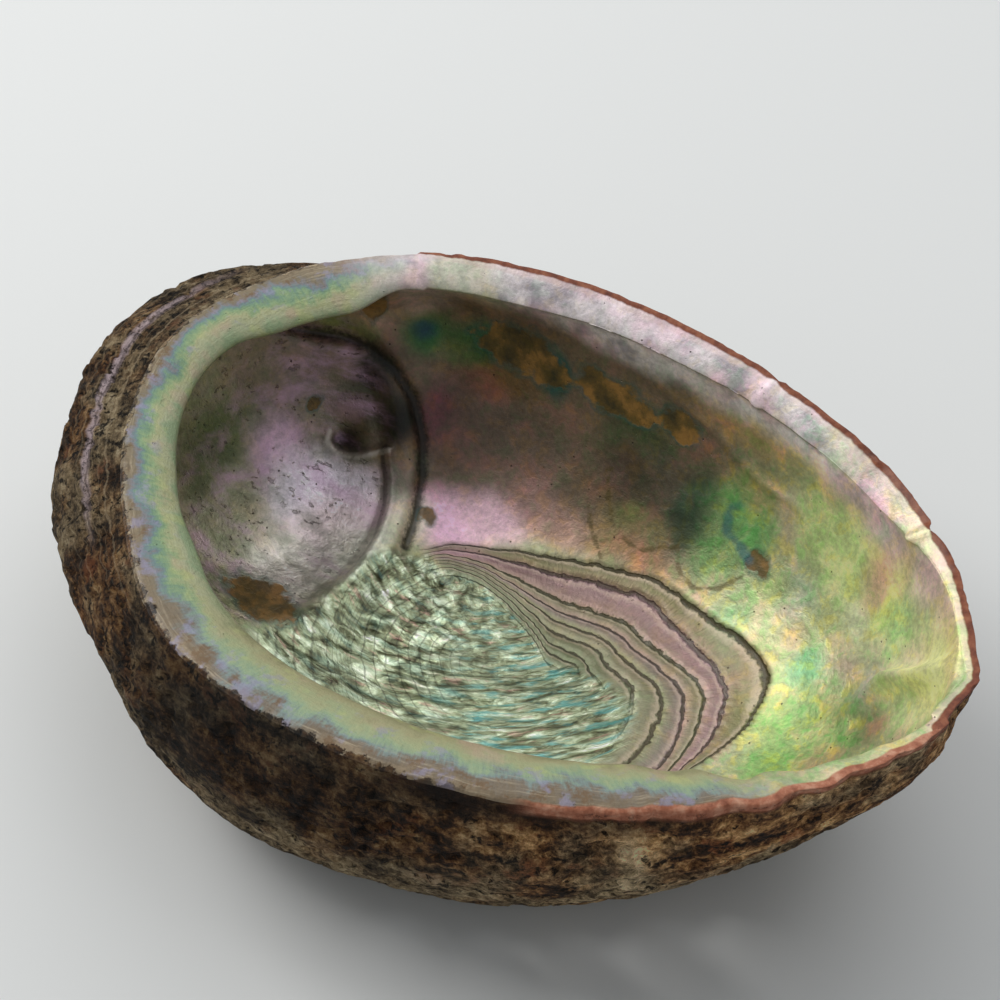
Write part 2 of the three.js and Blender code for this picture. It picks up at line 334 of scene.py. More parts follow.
# Lines on the inside, from point to point in plan or in space: the fold at the growing end,
# the curl at the start of the cup's edge, the edge itself, the dark gap beside it, and the
# ridge in the far wall. The pit and the hollow lie at the curl.
FOLD_CREST = ((91, 14, 60), (85, 18, 51), (79, 21.5, 43), (72, 25, 34), (67, 24, 27), (60, 18, 19))
HOOK = ((-74.3, 37.1), (-73.9, 35.1), (-71.5, 34.7), (-67.3, 36.6), (-62.5, 40.9))
CUP_PIT = (-74, 37)
HOOK_HOLLOW = (-71, 38.5)
CUP_EDGE = (
    (-62.5, 40.5), (-59, 36.5), (-56, 31), (-53.2, 22), (-52.5, 14), (-53.5, 6), (-57, -3),
)
CUP_GAP = (
    (-93, 43, 42), (-89, 46, 39), (-80, 51.7, 36), (-75, 53.6, 34), (-68, 53.5, 29.6), (-62, 51.7, 25),
    (-56.8, 47.2, 18.5), (-52.9, 40.6, 12.8), (-49.6, 32.3, 8.6), (-47.6, 24.9, 7.1),
)
WALL_RIDGE = ((-22, 68, 50), (6, 64, 43), (24, 59, 37), (36, 56, 38), (40, 52, 34), (41, 48, 29))


def softened(angle, table, blur=6):
    """A value by angle, averaged over a few nearby angles so that it has no corners."""
    return sum(by_angle(angle + k * blur / 2, table) for k in (-2, -1, 0, 1, 2)) / 5


def scar_fields(points):
    """Where a point of the floor lies on the muscle scar: the count of terrace lines passed,
    the width of its band in millimetres, and how surely it is on the terraces or the foil."""
    x, y = points[..., 0] - SCAR_CENTRE[0], points[..., 1] - SCAR_CENTRE[1]
    bearing = np.degrees(np.arctan2(y, x))
    wavy = 0.7 * rough(points, 8, 3, 3) + 0.55 * rough(points, 3, 3, 4)
    passed = softened(bearing, SCAR_LINE) - np.hypot(x, y) + wavy
    lines = [softened(bearing, [(row[0], row[k]) for row in SCAR_TERRACES]) for k in range(1, 7)]
    lines = np.stack([0 * passed] + lines)
    gaps = np.diff(lines, axis=0)
    count = np.clip((passed - lines[:-1]) / gaps, 0, 1).sum(0)
    count = count + np.minimum(passed, 0) / 4 + np.maximum(passed - lines[-1], 0) / 2.6
    here = np.clip(np.floor(count), 0, len(gaps) - 1).astype(int)
    band = np.take_along_axis(gaps, here[None], 0)[0]
    turn = (bearing + 180) % 360 - 180
    start = softened(turn, FOIL_STARTS)
    sector = rise(turn, -32, -24) * (1 - rise(turn, 150, 156))
    low = 1 - rise(points[..., 2], 15, 20)
    oval = np.hypot((points[..., 0] - FOIL[0]) / FOIL[2], (points[..., 1] - FOIL[1]) / FOIL[3])
    closed = 1 - rise(oval + 0.05 * rough(points, 9, 3, 8), 0.93, 1.04)
    closed = closed * rise(cup_place(points)[2] + 1.5 * rough(points, 5, 3, 9), -1, 2)
    late = count - start + 0.5 * rough(points, 5, 3, 10)
    foil = np.where(sector > 0.5, rise(late, -0.3, 0.5), 1) * closed
    terraces = sector * rise(count, -0.35, -0.05) * (1 - rise(late, 0, 0.8)) * low
    return count, band, terraces, foil * low


def crumbly_part(points):
    """1 on the foil's crumbly left part, 0 on its streaked right part."""
    return 1 - rise(points[..., 0] + 0.3 * points[..., 1], -32, 0)


def distance_from(points, spot):
    """Distance in plan from a spot."""
    return np.hypot(points[..., 0] - spot[0], points[..., 1] - spot[1])


def streak_place(points):
    """Places along and across the streaks of the foil, which run on circles."""
    x, y = points[..., 0] - STREAK_CENTRE[0], points[..., 1] - STREAK_CENTRE[1]
    radius = np.hypot(x, y)
    bearing = np.arctan2(y, x)
    return np.stack([bearing * 60, radius, 0 * radius], -1)


def cup_place(points):
    """Place from the middle (0) to the edge (1) of the spire's cup, bearing, distance out."""
    u = (points[..., 0] - CUP[0]) / CUP[2]
    v = (points[..., 1] - CUP[1]) / CUP[3]
    place = np.hypot(u, v)
    return place, np.degrees(np.arctan2(v, u)), (place - 1) * CUP[2]


def inside_relief(points, angle, s):
    """How far the nacre stands up from the smooth inside."""
    place, bearing, out = cup_place(points)
    window = rise(bearing, -52, 5) * (1 - rise(bearing, 70, 128))
    ledge = 2.6 * window * rise(out, -3.5, 1.5) * (1 - rise(out, 1.5, 11))
    crevice = 1.7 * bell(from_path(points, CUP_GAP)[0], 1.5)
    edge_line = 0.9 * bell(from_path(points[..., :2], CUP_EDGE)[0], 1.0) * rise(points[..., 1], -4, 10)
    crevice = crevice - edge_line * rise(points[..., 2], 0, 1) * (s < 0.8)
    sunk = 3.5 * (1 - rise(place, 0.45, 1)) * rise(points[..., 0], -105, -85)
    pit = 2.5 * bell(distance_from(points, CUP_PIT), 6)
    hook = 1.1 * bell(from_path(points[..., :2], HOOK)[0], 1.3) * (s > 0.5)
    hook = hook - 1.4 * bell(distance_from(points, HOOK_HOLLOW), 3) * (s > 0.5)

    count, band, terraces, foil = scar_fields(points)
    part = count - np.floor(count)
    drop = np.clip(0.9 / band, 0.12, 0.5)
    saw = np.where(part < 1 - drop, part / (1 - drop), 1 - rise(part, 1 - drop, 1))
    steps = np.clip(0.14 * band, 0.1, 0.75) * (saw - 0.6) * terraces

    streaks = streak_place(points)
    stretched = streaks / np.array((5.0, 1.0, 1.0))
    left = crumbly_part(points)
    lumps = 1.1 * np.abs(rough(streaks / np.array((2.2, 1.0, 1.0)), 4.4, 3, 21)) - 0.3
    ribs = 0.95 * rough(stretched, 2.1, 3, 22, 0.6)
    foiled = foil * (lumps * left + ribs * (1 - 0.25 * left) - 0.35)

    fold, share = from_path(points, FOLD_CREST)
    fold = 4.2 * bell(fold, 2.4) * (1 - rise(share, 0.6, 1))
    pocket = -4.5 * lobe(angle, 350, 22) * bell(s - 0.79, 0.13)
    ridge, share = from_path(points, WALL_RIDGE)
    ridge = 0.6 * bell(ridge, 1.4) * rise(share, 0, 0.1) * (1 - rise(share, 0.9, 1))
    hammered = 0.25 * rough(points, 11, 3, 31) * (1 - foil)
    relief = ledge - crevice - sunk - pit + hook + steps + foiled + ridge + hammered
    return relief * (1 - rise(s, 0.86, 1)) + (fold + pocket) * (1 - rise(s, 0.95, 1))


def lip_ripples(wall, depth):
    """Elongated hollows side by side just inside the thin outer lip, depth mm below it."""
    outer = lobe(wall["angle"], 72, 62)
    along = wall["t"] * RIM_LENGTH
    place = np.stack([along, depth * 0.35, 0 * along], -1)
    hollows = rough(place, 6.5, 2, 41)
    return 1.2 * hollows * outer * bell(depth - 5, 4.5) * rise(depth, 0, 3)


# ---- the outside's relief ----

def growth_age(wall):
    """Age of the shell where it was laid down, 0 at the apex and 1 at today's rim: the wall
    is laid flat, and the distance from the apex is divided by that to the rim beyond. Gives
    the age and the distance to the rim."""
    apex = np.array(POLE) + 0.92 * (np.array(APEX) - POLE)
    flat = np.array(POLE) + (wall["s"] * wall["reach"])[..., None] * wall["spoke"] - apex
    rim = rim_point(np.arange(1440) / 1440) - apex
    rim_bearing = np.arctan2(rim[:, 1], rim[:, 0])
    order = np.argsort(rim_bearing)
    far = np.interp(np.arctan2(flat[..., 1], flat[..., 0]), rim_bearing[order],
                    np.hypot(rim[order, 0], rim[order, 1]), period=2 * np.pi)
    return np.hypot(flat[..., 0], flat[..., 1]) / far, far


def hole_measure(t, s, hole):
    """Distance from a hole's middle in units of its half size, from its angle, place and
    diameter; and the half size along the row."""
    angle, place, diameter = hole
    many = np.arange(2880) / 2880
    bearing, _, _ = spokes(many)
    middle = many[np.argmin(np.abs((bearing - angle + 540) % 360 - 180))]
    around = (t - middle + 0.5) % 1 - 0.5
    here = np.array([middle, middle + 1e-3, middle])
    rows = np.array([place, place, place + 1e-3])
    wall = smooth_wall(here, rows)
    spots = placed(wall, wall["line"])
    per_t = np.linalg.norm(spots[1] - spots[0]) * 1e3
    per_s = np.linalg.norm(spots[2] - spots[0]) * 1e3
    half = diameter / 2
    measure = np.hypot(around * per_t / (half * HOLE_LENGTHEN), (s - place) * per_s / half)
    return measure, half, middle


def outside_relief(wall, points):
    """How far the crust stands out from the smooth outside."""
    angle, s = wall["angle"], wall["s"]
    x, y = points[..., 0] - APEX[0], points[..., 1] - APEX[1]
    reach = np.hypot(x, y)
    dome = 2.6 * (1 - np.minimum(reach / DOME_REACH, 1) ** 2) ** 2
    winding = np.log(np.maximum(reach, 1) / DOME_REACH) / np.log(3) - np.arctan2(y, x) / (2 * np.pi)
    phase = winding - np.round(winding)
    groove = 1.4 * bell(phase, 0.16) * rise(reach, 3, 10) * (reach < DOME_REACH)
    keel = 1.2 * lobe(angle, 290, 85) * bell(s - 0.55, 0.10)

    age, far = growth_age(wall)
    wander = 0.6 * rough(points, 16, 3, 51)
    lines = 0.28 * grain(np.stack([age * far + wander, 0 * age, 0 * age], -1), 2.6, 52)
    waves = 0.5 * grain(np.stack([age * far + 2 * wander, 0 * age, 0 * age], -1), 11, 53)
    crust = 1.0 * rough(points, 7, 4, 54, 0.62)
    pits = -1.1 * (1 - rise(cells(points, 2.8, 55), 0.15, 0.55)) * rise(rough(points, 18, 2, 56), -0.35, 0.2)
    below = (1 - s) * 55 + 0.5 * wander
    ridges = grain(np.stack([below, wall["t"] * 14, 0 * s], -1), 2.3, 57)
    crust = crust + 0.7 * ridges * lobe(angle, 178, 66) * rise(s, 0.62, 0.8)

    collars = 0 * s
    for hole in HOLES:
        measure, half, _ = hole_measure(wall["t"], s, hole)
        collars = np.maximum(collars, 0.9 * bell(np.maximum(measure - 1, 0) * half, 1.6))
    for angle_there, place in CLOSED_HOLES:
        measure, half, _ = hole_measure(wall["t"], s, (angle_there, place, 6.0))
        bump = bell(measure, 1.1) * 1.1 - 0.7 * bell(measure, 0.45)
        collars = np.maximum(collars, bump)
    worn = rise(s, PAD, 0.45)
    fade = 1 - rise(s, 0.94, 1)
    form = (dome - groove + keel) * worn * (1 - rise(s, 0.85, 1))
    skin = (lines + waves + crust + pits) * (0.25 + 0.75 * worn) * (0.35 + 0.65 * fade)
    return form + skin * (1 - 0.6 * rise(collars, 0.2, 0.8)) + collars


# ---- colours of the nacre ----

def hue(red, green, blue):
    """A colour named by its screen values from 0 to 255, as linear light."""
    screen = np.array((red, green, blue)) / 255
    return np.where(screen <= 0.04045, screen / 12.92, ((screen + 0.055) / 1.055) ** 2.4)


# Soft clouds of colour: place, reach along x, y and z, hue, and strength.
CLOUDS = (
    # The wall under the outer lip, from the cup to the growing end: its dark colours are partly the nacre's
    # own and partly painted shade.
    ((-52, 52, 20), (13, 12, 12), hue(106, 84, 78), 0.8),
    ((-35, 55, 22), (14, 10, 9), hue(112, 96, 84), 0.8),
    ((-12, 55, 20), (12, 8, 9), hue(102, 88, 68), 0.8),
    ((-44, 66, 46), (22, 6, 6), hue(128, 110, 92), 0.8),
    ((-10, 66, 47), (16, 6, 5), hue(112, 102, 84), 0.8),
    ((-46, 62, 33), (12, 6, 4), hue(128, 100, 66), 0.8),
    ((-49, 61, 30), (8, 6, 3), hue(140, 92, 84), 0.6),
    ((-57, 53, 22), (5, 7, 8), hue(112, 66, 78), 0.7),
    ((-63, 61, 38), (6, 6, 6), hue(58, 116, 66), 0.9),
    ((-53, 65, 38), (7, 5, 5), hue(54, 104, 62), 0.9),
    ((-65, 62, 39), (3.5, 3, 2.5), hue(28, 62, 96), 0.8),
    ((-56, 62, 35), (5, 5, 4), hue(104, 116, 74), 0.7),
    ((-31, 65, 37), (3, 5, 5), hue(36, 88, 86), 0.9),
    ((-6, 62, 31), (12, 8, 8), hue(70, 88, 62), 0.8),
    ((10, 57, 24), (5, 6, 9), hue(58, 96, 74), 0.8),
    ((2, 60, 28), (6, 6, 6), hue(106, 96, 90), 0.6),
    ((-9, 60, 24), (6, 6, 6), hue(104, 80, 76), 0.7),
    ((-3, 57, 22), (9, 6, 6), hue(64, 62, 44), 0.75),
    ((9, 53, 19), (6, 5, 6), hue(46, 62, 42), 0.85),
    ((-1, 52, 16), (8, 5, 4), hue(122, 122, 72), 0.7),
    # The bright low edge of that wall: its palest pink clouds are a painted highlight.
    ((-43, 35, 9), (12, 7, 6), hue(252, 206, 232), 0.97),
    ((-33, 41, 9), (9, 6, 5), hue(244, 206, 222), 0.92),
    ((-20, 45, 10), (10, 5, 4), hue(184, 150, 138), 0.85),
    ((-28, 47, 13), (9, 5, 4), hue(160, 130, 124), 0.7),
    ((3, 46, 12), (9, 5, 4), hue(150, 120, 92), 0.85),
    ((14, 43, 11), (7, 5, 4), hue(166, 150, 116), 0.8),
    ((-8, 46, 12), (5, 5, 4), hue(150, 128, 90), 0.6),
    # Green pool and the turn of the wall to the growing end.
    ((22, 55, 27), (8, 8, 7), hue(136, 186, 124), 0.9),
    ((19, 50, 19), (7, 6, 6), hue(126, 158, 104), 0.85),
    ((24, 60, 34), (7, 6, 5), hue(172, 166, 120), 0.6),
    ((20, 63, 48), (14, 6, 6), hue(206, 178, 136), 0.7),
    ((4, 66, 54), (12, 5, 4), hue(170, 140, 120), 0.7),
    ((12, 65, 52), (5, 4, 3), hue(196, 146, 128), 0.6),
    ((34, 56, 33), (6, 6, 8), hue(214, 196, 176), 0.7),
    ((40, 53, 38), (7, 8, 9), hue(186, 206, 148), 0.8),
    ((42, 56, 50), (10, 7, 5), hue(222, 204, 150), 0.7),
    ((52, 47, 38), (9, 8, 9), hue(202, 218, 160), 0.85),
    ((50, 52, 54), (8, 6, 5), hue(220, 186, 190), 0.8),
    ((61, 45, 46), (7, 7, 8), hue(248, 214, 170), 0.9),
    ((61, 40, 38), (6, 6, 5), hue(206, 232, 152), 0.85),
    ((71, 36, 55), (6, 6, 6), hue(236, 206, 176), 0.7),
    ((41, 45, 23), (6, 6, 6), hue(186, 196, 176), 0.7),
    ((36, 47, 19), (5, 4, 5), hue(190, 204, 140), 0.7),
    ((53, 38, 25), (8, 7, 7), hue(192, 198, 156), 0.8),
    ((56, 40, 31), (5, 4, 4), hue(216, 220, 190), 0.7),
    ((44, 38, 18), (5, 4, 4), hue(208, 180, 152), 0.6),
    ((37, 33, 12), (8, 5, 5), hue(176, 166, 118), 0.8),
    ((30, 38, 13), (5, 5, 4), hue(150, 190, 140), 0.7),
    ((47, 22, 12), (10, 8, 6), hue(164, 186, 120), 0.85),
    ((32, 31, 10), (4, 4, 3), hue(128, 170, 140), 0.6),
    ((63, 31, 28), (7, 7, 7), hue(186, 184, 158), 0.8),
    ((61, 25, 22), (6, 5, 6), hue(150, 164, 134), 0.7),
    ((70, 36, 52), (9, 7, 6), hue(228, 196, 206), 0.8),
    ((79, 28, 53), (7, 7, 5), hue(238, 208, 200), 0.75),
    ((58, 47, 51), (9, 5, 5), hue(206, 184, 200), 0.75),
    ((66, 33, 40), (5, 5, 6), hue(170, 214, 150), 0.7),
    ((50, 33, 18), (6, 5, 5), hue(120, 186, 140), 0.75),
    ((57, 31, 24), (5, 5, 4), hue(206, 176, 168), 0.6),
    ((46, 57, 46), (8, 5, 5), hue(186, 160, 150), 0.7),
    ((58, 44, 40), (4, 5, 8), hue(196, 158, 150), 0.7),
    ((64, 25, 30), (5, 5, 5), hue(176, 170, 176), 0.6),
    # Front fold and its pocket: the pale cloud over the crest is a painted highlight, and the greyer clouds
    # below it are painted shade in the pocket.
    ((80, 20, 50), (9, 7, 9), hue(250, 234, 178), 0.85),
    ((85, 3, 51), (7, 6, 7), hue(176, 164, 140), 0.85),
    ((79, 5, 41), (7, 6, 8), hue(134, 124, 100), 0.85),
    ((74, 26, 40), (6, 5, 8), hue(214, 204, 176), 0.7),
    ((70, 17, 26), (8, 6, 8), hue(116, 108, 84), 0.85),
    ((75, 8, 34), (8, 6, 9), hue(140, 130, 112), 0.85),
    ((63, 11, 17), (9, 7, 7), hue(116, 112, 84), 0.8),
    ((60, 21, 18), (12, 10, 9), hue(132, 160, 100), 0.8),
    ((54, 10, 12), (8, 7, 5), hue(128, 168, 96), 0.8),
    # The spire's cup: its near-white middle is a painted highlight; its dark green left side is green nacre
    # darkened as painted shade, and the near-black spots in the hollow at the curl and along the gap are
    # painted shade.
    ((-84, 14, 24), (22, 26, 18), hue(172, 166, 146), 0.8),
    ((-90, 36, 34), (14, 12, 10), hue(140, 122, 122), 0.8),
    ((-92, 18, 27), (8, 14, 9), hue(96, 108, 76), 0.85),
    ((-82, 28, 22), (7, 8, 7), hue(232, 196, 222), 0.85),
    ((-80, 4, 16), (9, 8, 6), hue(150, 150, 124), 0.7),
    ((-70, 26, 14), (13, 11, 9), hue(250, 240, 252), 0.97),
    ((-63, 22, 10), (10, 9, 7), hue(246, 226, 230), 0.92),
    ((-56, 16, 8), (9, 9, 5), hue(232, 234, 220), 0.88),
    ((-66, 6, 10), (11, 9, 6), hue(244, 238, 232), 0.9),
    ((-76, 42, 26), (8, 6, 6), hue(160, 144, 150), 0.7),
    ((-71, 51, 31), (6, 6, 7), hue(38, 38, 30), 0.9),
    ((-64, 47, 23), (6, 6, 6), hue(46, 44, 38), 0.9),
    ((-56, 40, 14), (5, 5, 5), hue(128, 124, 112), 0.8),
    ((-51, 31, 9), (5, 6, 5), hue(232, 226, 208), 0.9),
    ((-71.0, 38.5, 20), (3.4, 2.6, 5), hue(38, 32, 28), 0.95),
    ((-63, 46, 21), (3.4, 5.5, 6), hue(30, 28, 24), 0.9),
    # The shoulder over the cup, beside the outer lip's start.
    ((-81, 53, 39), (8, 6, 5), hue(136, 146, 98), 0.8),
    ((-78, 57, 44), (8, 6, 5), hue(206, 170, 156), 0.8),
    ((-66, 62, 50), (10, 6, 6), hue(222, 196, 194), 0.85),
    ((-52, 66, 52), (9, 5, 5), hue(206, 170, 150), 0.7),
    # The near wall, which slopes under the broad lip.
    ((-60, -24, 20), (22, 20, 20), hue(150, 156, 122), 0.8),
    ((-10, -44, 22), (40, 14, 20), hue(152, 160, 132), 0.8),
    ((45, -30, 25), (30, 18, 20), hue(160, 166, 132), 0.8),
    ((-32, -50, 34), (15, 9, 8), hue(198, 166, 172), 0.7),
    ((-8, -50, 26), (9, 9, 6), hue(120, 156, 146), 0.7),
    ((20, -46, 32), (13, 9, 8), hue(184, 176, 182), 0.7),
    ((44, -36, 28), (9, 8, 7), hue(128, 168, 134), 0.7),
    ((62, -24, 38), (12, 9, 9), hue(214, 186, 166), 0.7),
    ((-66, -34, 34), (12, 9, 9), hue(172, 158, 178), 0.7),
    ((-50, -36, 18), (10, 9, 6), hue(134, 142, 112), 0.7),
)

# Stains with sharper edges: place and reach.
STAINS = (
    ((-77, 58, 44), (3.0, 4.0, 4.5)),
    ((-43, 66, 39.5), (10, 7, 5.4)),
    ((-34, 66, 37), (6.0, 6, 4.2)),
    ((-18, 65, 38), (9.0, 7, 4.6)),
    ((-10, 65, 37), (5.0, 5, 3.2)),
    ((2, 64, 38.5), (5.0, 6, 3.8)),
    ((29.5, 50, 22.5), (3.6, 4, 2.6)),
    ((-65, -6.5, 11), (9.5, 5.5, 5)),
    ((-79, 38, 27), (2.0, 2.2, 3)),
    ((-47, 34, 9.5), (2.6, 1.8, 3)),
    ((-86, -6, 57), (1.6, 1.0, 3)),
)

# Thin dark lines left where the nacre overran a stain, and one blue one.
OVERRUNS = (
    ((-11, 59, 25), (-13, 57.5, 21.5), (-10, 53, 17), (-6, 49, 13.5), (1, 47, 13), (7, 49, 15),
     (9.5, 50, 16.5), (12, 46, 14), (17, 43.5, 12.8), (22.5, 44.5, 15), (27, 47.5, 19)),
    ((-15, 53, 16), (-11.5, 47.5, 12.5), (-6, 43, 10)),
    ((-50, 66, 46), (-39, 67, 41), (-33, 65, 36)),
)
BLUE_LINE = ((22, 59, 30.5), (18.5, 57.5, 27), (19, 54, 23.7), (24, 51.5, 22.7), (27, 50, 21.5))


def laid_over(tint, weight, colour):
    """A colour laid over another by its weight from 0 to 1."""
    return tint + (colour - tint) * weight[..., None]


def nacre_tint(points, angle, depth):
    """The nacre's colour: a grounding by side, dark on the far wall partly as painted shade, a silvery band
    under the outer lip made near white partly as painted reflection, the clouds laid over one another, some
    of them painted highlights and some painted shade, and painted light on the upper wall at the growing end.
    Places are shaken by noise, so that no edge is round."""
    shaken = points + np.stack([4.0 * rough(points, 15, 4, 70 + k, 0.6) for k in range(3)], -1)
    tint = np.zeros(points.shape) + hue(176, 178, 146)
    # Painted shade with the far wall's own darker nacre: the far side above the floor is grounded in dark
    # brown.
    wall = lobe(angle, 112, 80) * rise(points[..., 2], 8, 14)
    tint = laid_over(tint, np.clip(wall * 2, 0, 1), hue(130, 112, 98))
    front = lobe(angle, 15, 55) * rise(points[..., 2], 9, 16)
    tint = laid_over(tint, np.clip(front * 1.6, 0, 1), hue(190, 200, 156))
    for place, reach, colour, strength in CLOUDS:
        away = np.linalg.norm((shaken - place) / reach, axis=-1)
        tint = laid_over(tint, strength * (1 - rise(away, 0.35, 1.5)), colour)
    # The silvery band under the outer lip: the nacre's own silvery pink, made near white as a painted
    # reflection of the overhead light.
    under = depth + 3.0 * rough(points, 10, 3, 75)
    silver = rise(lobe(angle, 95, 80), 0.02, 0.3) * (1 - rise(under, 3, 10))
    pearly_sheen = laid_over(np.zeros(points.shape) + hue(236, 226, 230),
                       rise(rough(points, 9, 3, 76), -0.1, 0.35), hue(236, 202, 214))
    pearly_sheen = laid_over(pearly_sheen, 0.7 * rise(rough(points, 4.5, 3, 77), 0.02, 0.4), hue(158, 150, 162))
    pearly_sheen = laid_over(pearly_sheen, 0.6 * rise(rough(points, 14, 3, 78), 0.05, 0.4), hue(206, 214, 176))
    # Painted light: the upper wall at the growing end is made up to 30 % brighter.
    painted_light_gain = 1 + 0.3 * rise(points[..., 0], 20, 50) * rise(points[..., 2], 20, 34) * rise(depth, 2, 9)
    grey = tint.mean(-1, keepdims=True)
    tint = laid_over((grey + (tint - grey) * 1.15) * painted_light_gain[..., None], 0.92 * silver, pearly_sheen)
    return np.clip(tint, 0.005, 0.95)


def stain_field(points):
    """1 in the middle of a stain, 0 at its edge, less outside."""
    shaken = points + np.stack([2.4 * rough(points, 6, 4, 80 + k, 0.6) for k in range(3)], -1)
    field = np.full(points.shape[:-1], -2.0)
    for place, reach in STAINS:
        field = np.maximum(field, 1 - np.linalg.norm((shaken - place) / reach, axis=-1))
    return field


# ---- the mesh ----

def row_places():
    """s and kind of every row, from the outer pole round the rim to the inner pole."""
    band = np.linspace(BAND[0], BAND[1], BAND_ROWS)
    low = np.linspace(0.02, BAND[0], OUT_LOW_ROWS + 1)[:-1]
    high = np.linspace(BAND[1], 1, OUT_HIGH_ROWS + 1)[1:]
    inner_high = np.linspace(1, BAND[1], IN_HIGH_ROWS + 1)[:-1]
    inner_low = np.linspace(BAND[0], 0.02, IN_LOW_ROWS + 1)[1:]
    outside = np.concatenate([low, band, high])
    inside = np.concatenate([inner_high, band[::-1], inner_low])
    first_out = len(low)
    first_in = len(outside) + CAP_ROWS + len(inner_high)
    return outside, inside, first_out, first_in


def cut_holes(band_t, band_s):
    """The band's open cells, and its places after the corners beside them are moved to the
    edges of the holes."""
    open_cells = np.zeros((BAND_ROWS - 1, COLUMNS), bool)
    new_t, new_s = band_t.copy(), band_s.copy()
    last_column = np.arange(COLUMNS) == COLUMNS - 1
    for hole in HOLES:
        middle_t = (band_t[:-1] + np.roll(band_t[:-1], -1, 1) + last_column) / 2
        middle_s = (band_s[:-1] + band_s[1:]) / 2
        measure, _, centre = hole_measure(middle_t, middle_s, hole)
        cut = measure < 1
        open_cells |= cut
        corner = np.zeros(band_t.shape, bool)
        whole = np.ones(band_t.shape, bool)
        for down, right in ((0, 0), (0, 1), (1, 0), (1, 1)):
            part = np.zeros_like(corner)
            part[down:down + BAND_ROWS - 1] = np.roll(cut, right, 1)
            corner |= part
            whole &= part
        edge = corner & ~whole
        measure, _, _ = hole_measure(band_t, band_s, hole)
        new_t = np.where(edge, centre + (band_t - centre) / measure, new_t)
        new_s = np.where(edge, hole[1] + (band_s - hole[1]) / measure, new_s)
    return open_cells, new_t, new_s


def outer_face(t, s):
    """The outside: its smooth wall, and its line with the relief on it."""
    wall = smooth_wall(t, s)
    shove = wall["edge"] * rise(s, 0.88, 1)
    line = wall["line"] + np.stack([shove, 0 * shove], -1)
    relief = outside_relief(wall, placed(wall, line))
    return wall, line - relief[..., None] * wall["inward"]


def inner_face(t, s):
    """The inside: its smooth wall, its places before the relief, its line with the relief
    and the lip's edge, and the way down from the lip in millimetres."""
    wall = smooth_wall(t, s)
    face = wall["line"] + wall["wall"][..., None] * wall["inward"]
    spot = placed(wall, face)
    lift = inside_relief(spot, wall["angle"], s)
    face = face + lift[..., None] * wall["inward"]
    thin = 0.02 * wall["bevel"]
    blend = rise((s - 0.8 - thin) / (0.2 - thin), 0, 1)[..., None]
    flat = face * (1 - blend) + wall["lip"] * blend
    shove = wall["edge"] * rise(s, 0.93, 1)
    flat = flat + np.stack([shove, 0 * shove], -1)
    steps = np.linalg.norm(np.diff(placed(wall, flat), axis=0), axis=-1)
    depth = np.concatenate([np.zeros((1, COLUMNS)), np.cumsum(steps, 0)])
    return wall, spot, flat, depth


def lip_cap(wall, start, end):
    """The lip, rounded over from the outside edge to its inner edge. Gives its points, its
    places before the rounding, and how far across the lip they lie."""
    turn = np.pi * (np.arange(1, CAP_ROWS + 1) / (CAP_ROWS + 1))[:, None]
    top_wall = {key: value[-1:] for key, value in wall.items()}
    angle, width = top_wall["angle"], top_wall["width"]
    flat_lip = np.maximum(0.5 * top_wall["bevel"], 0.85 * rise(lobe(angle, 12, 50), 0, 0.4))
    crown = np.minimum(CAP_RISE, 0.45 * width) * (1 - flat_lip)
    across = (0.5 - 0.5 * np.cos(turn))[..., None]
    flat = start * (1 - across) + end * across
    cap_spot = placed(top_wall, flat)
    span = across[..., 0] * width
    fibre_place = np.stack([top_wall["t"] * RIM_LENGTH / 4 + 0 * span, span, 0 * span], -1)
    fibres = rough(fibre_place, 1.6, 3, 61)
    worn_lip = 0.16 * fibres * lobe(angle, 200, 110) + 0.2 * rough(cap_spot, 8, 3, 62)
    flat[..., 1] += crown * np.sin(turn) + worn_lip * np.sin(turn)
    return placed(top_wall, flat), cap_spot, span


def after(rows, rest, field):
    """A field of the last rows, with rows before it that all hold the rest value."""
    return np.concatenate([np.full((rows,) + field.shape[1:], rest), field])


def red_edge(angle):
    """How red the rim's edge is by angle: broken twice, and fainter at the near side."""
    red = 1 - rise(angle, 132.4, 133.4)
    for broken in BREAKS:
        red = red * (1 - bell(angle - broken, 0.7))
    return np.maximum(red, rise(angle, 357, 359)) * (0.55 + 0.3 * rise(angle, 200, 300))


def polar_place(points):
    """Places round and out from the muscle scar's centre."""
    x, y = points[..., 0] - SCAR_CENTRE[0], points[..., 1] - SCAR_CENTRE[1]
    return np.stack([np.arctan2(y, x) * 40, np.hypot(x, y), 0 * x], -1)


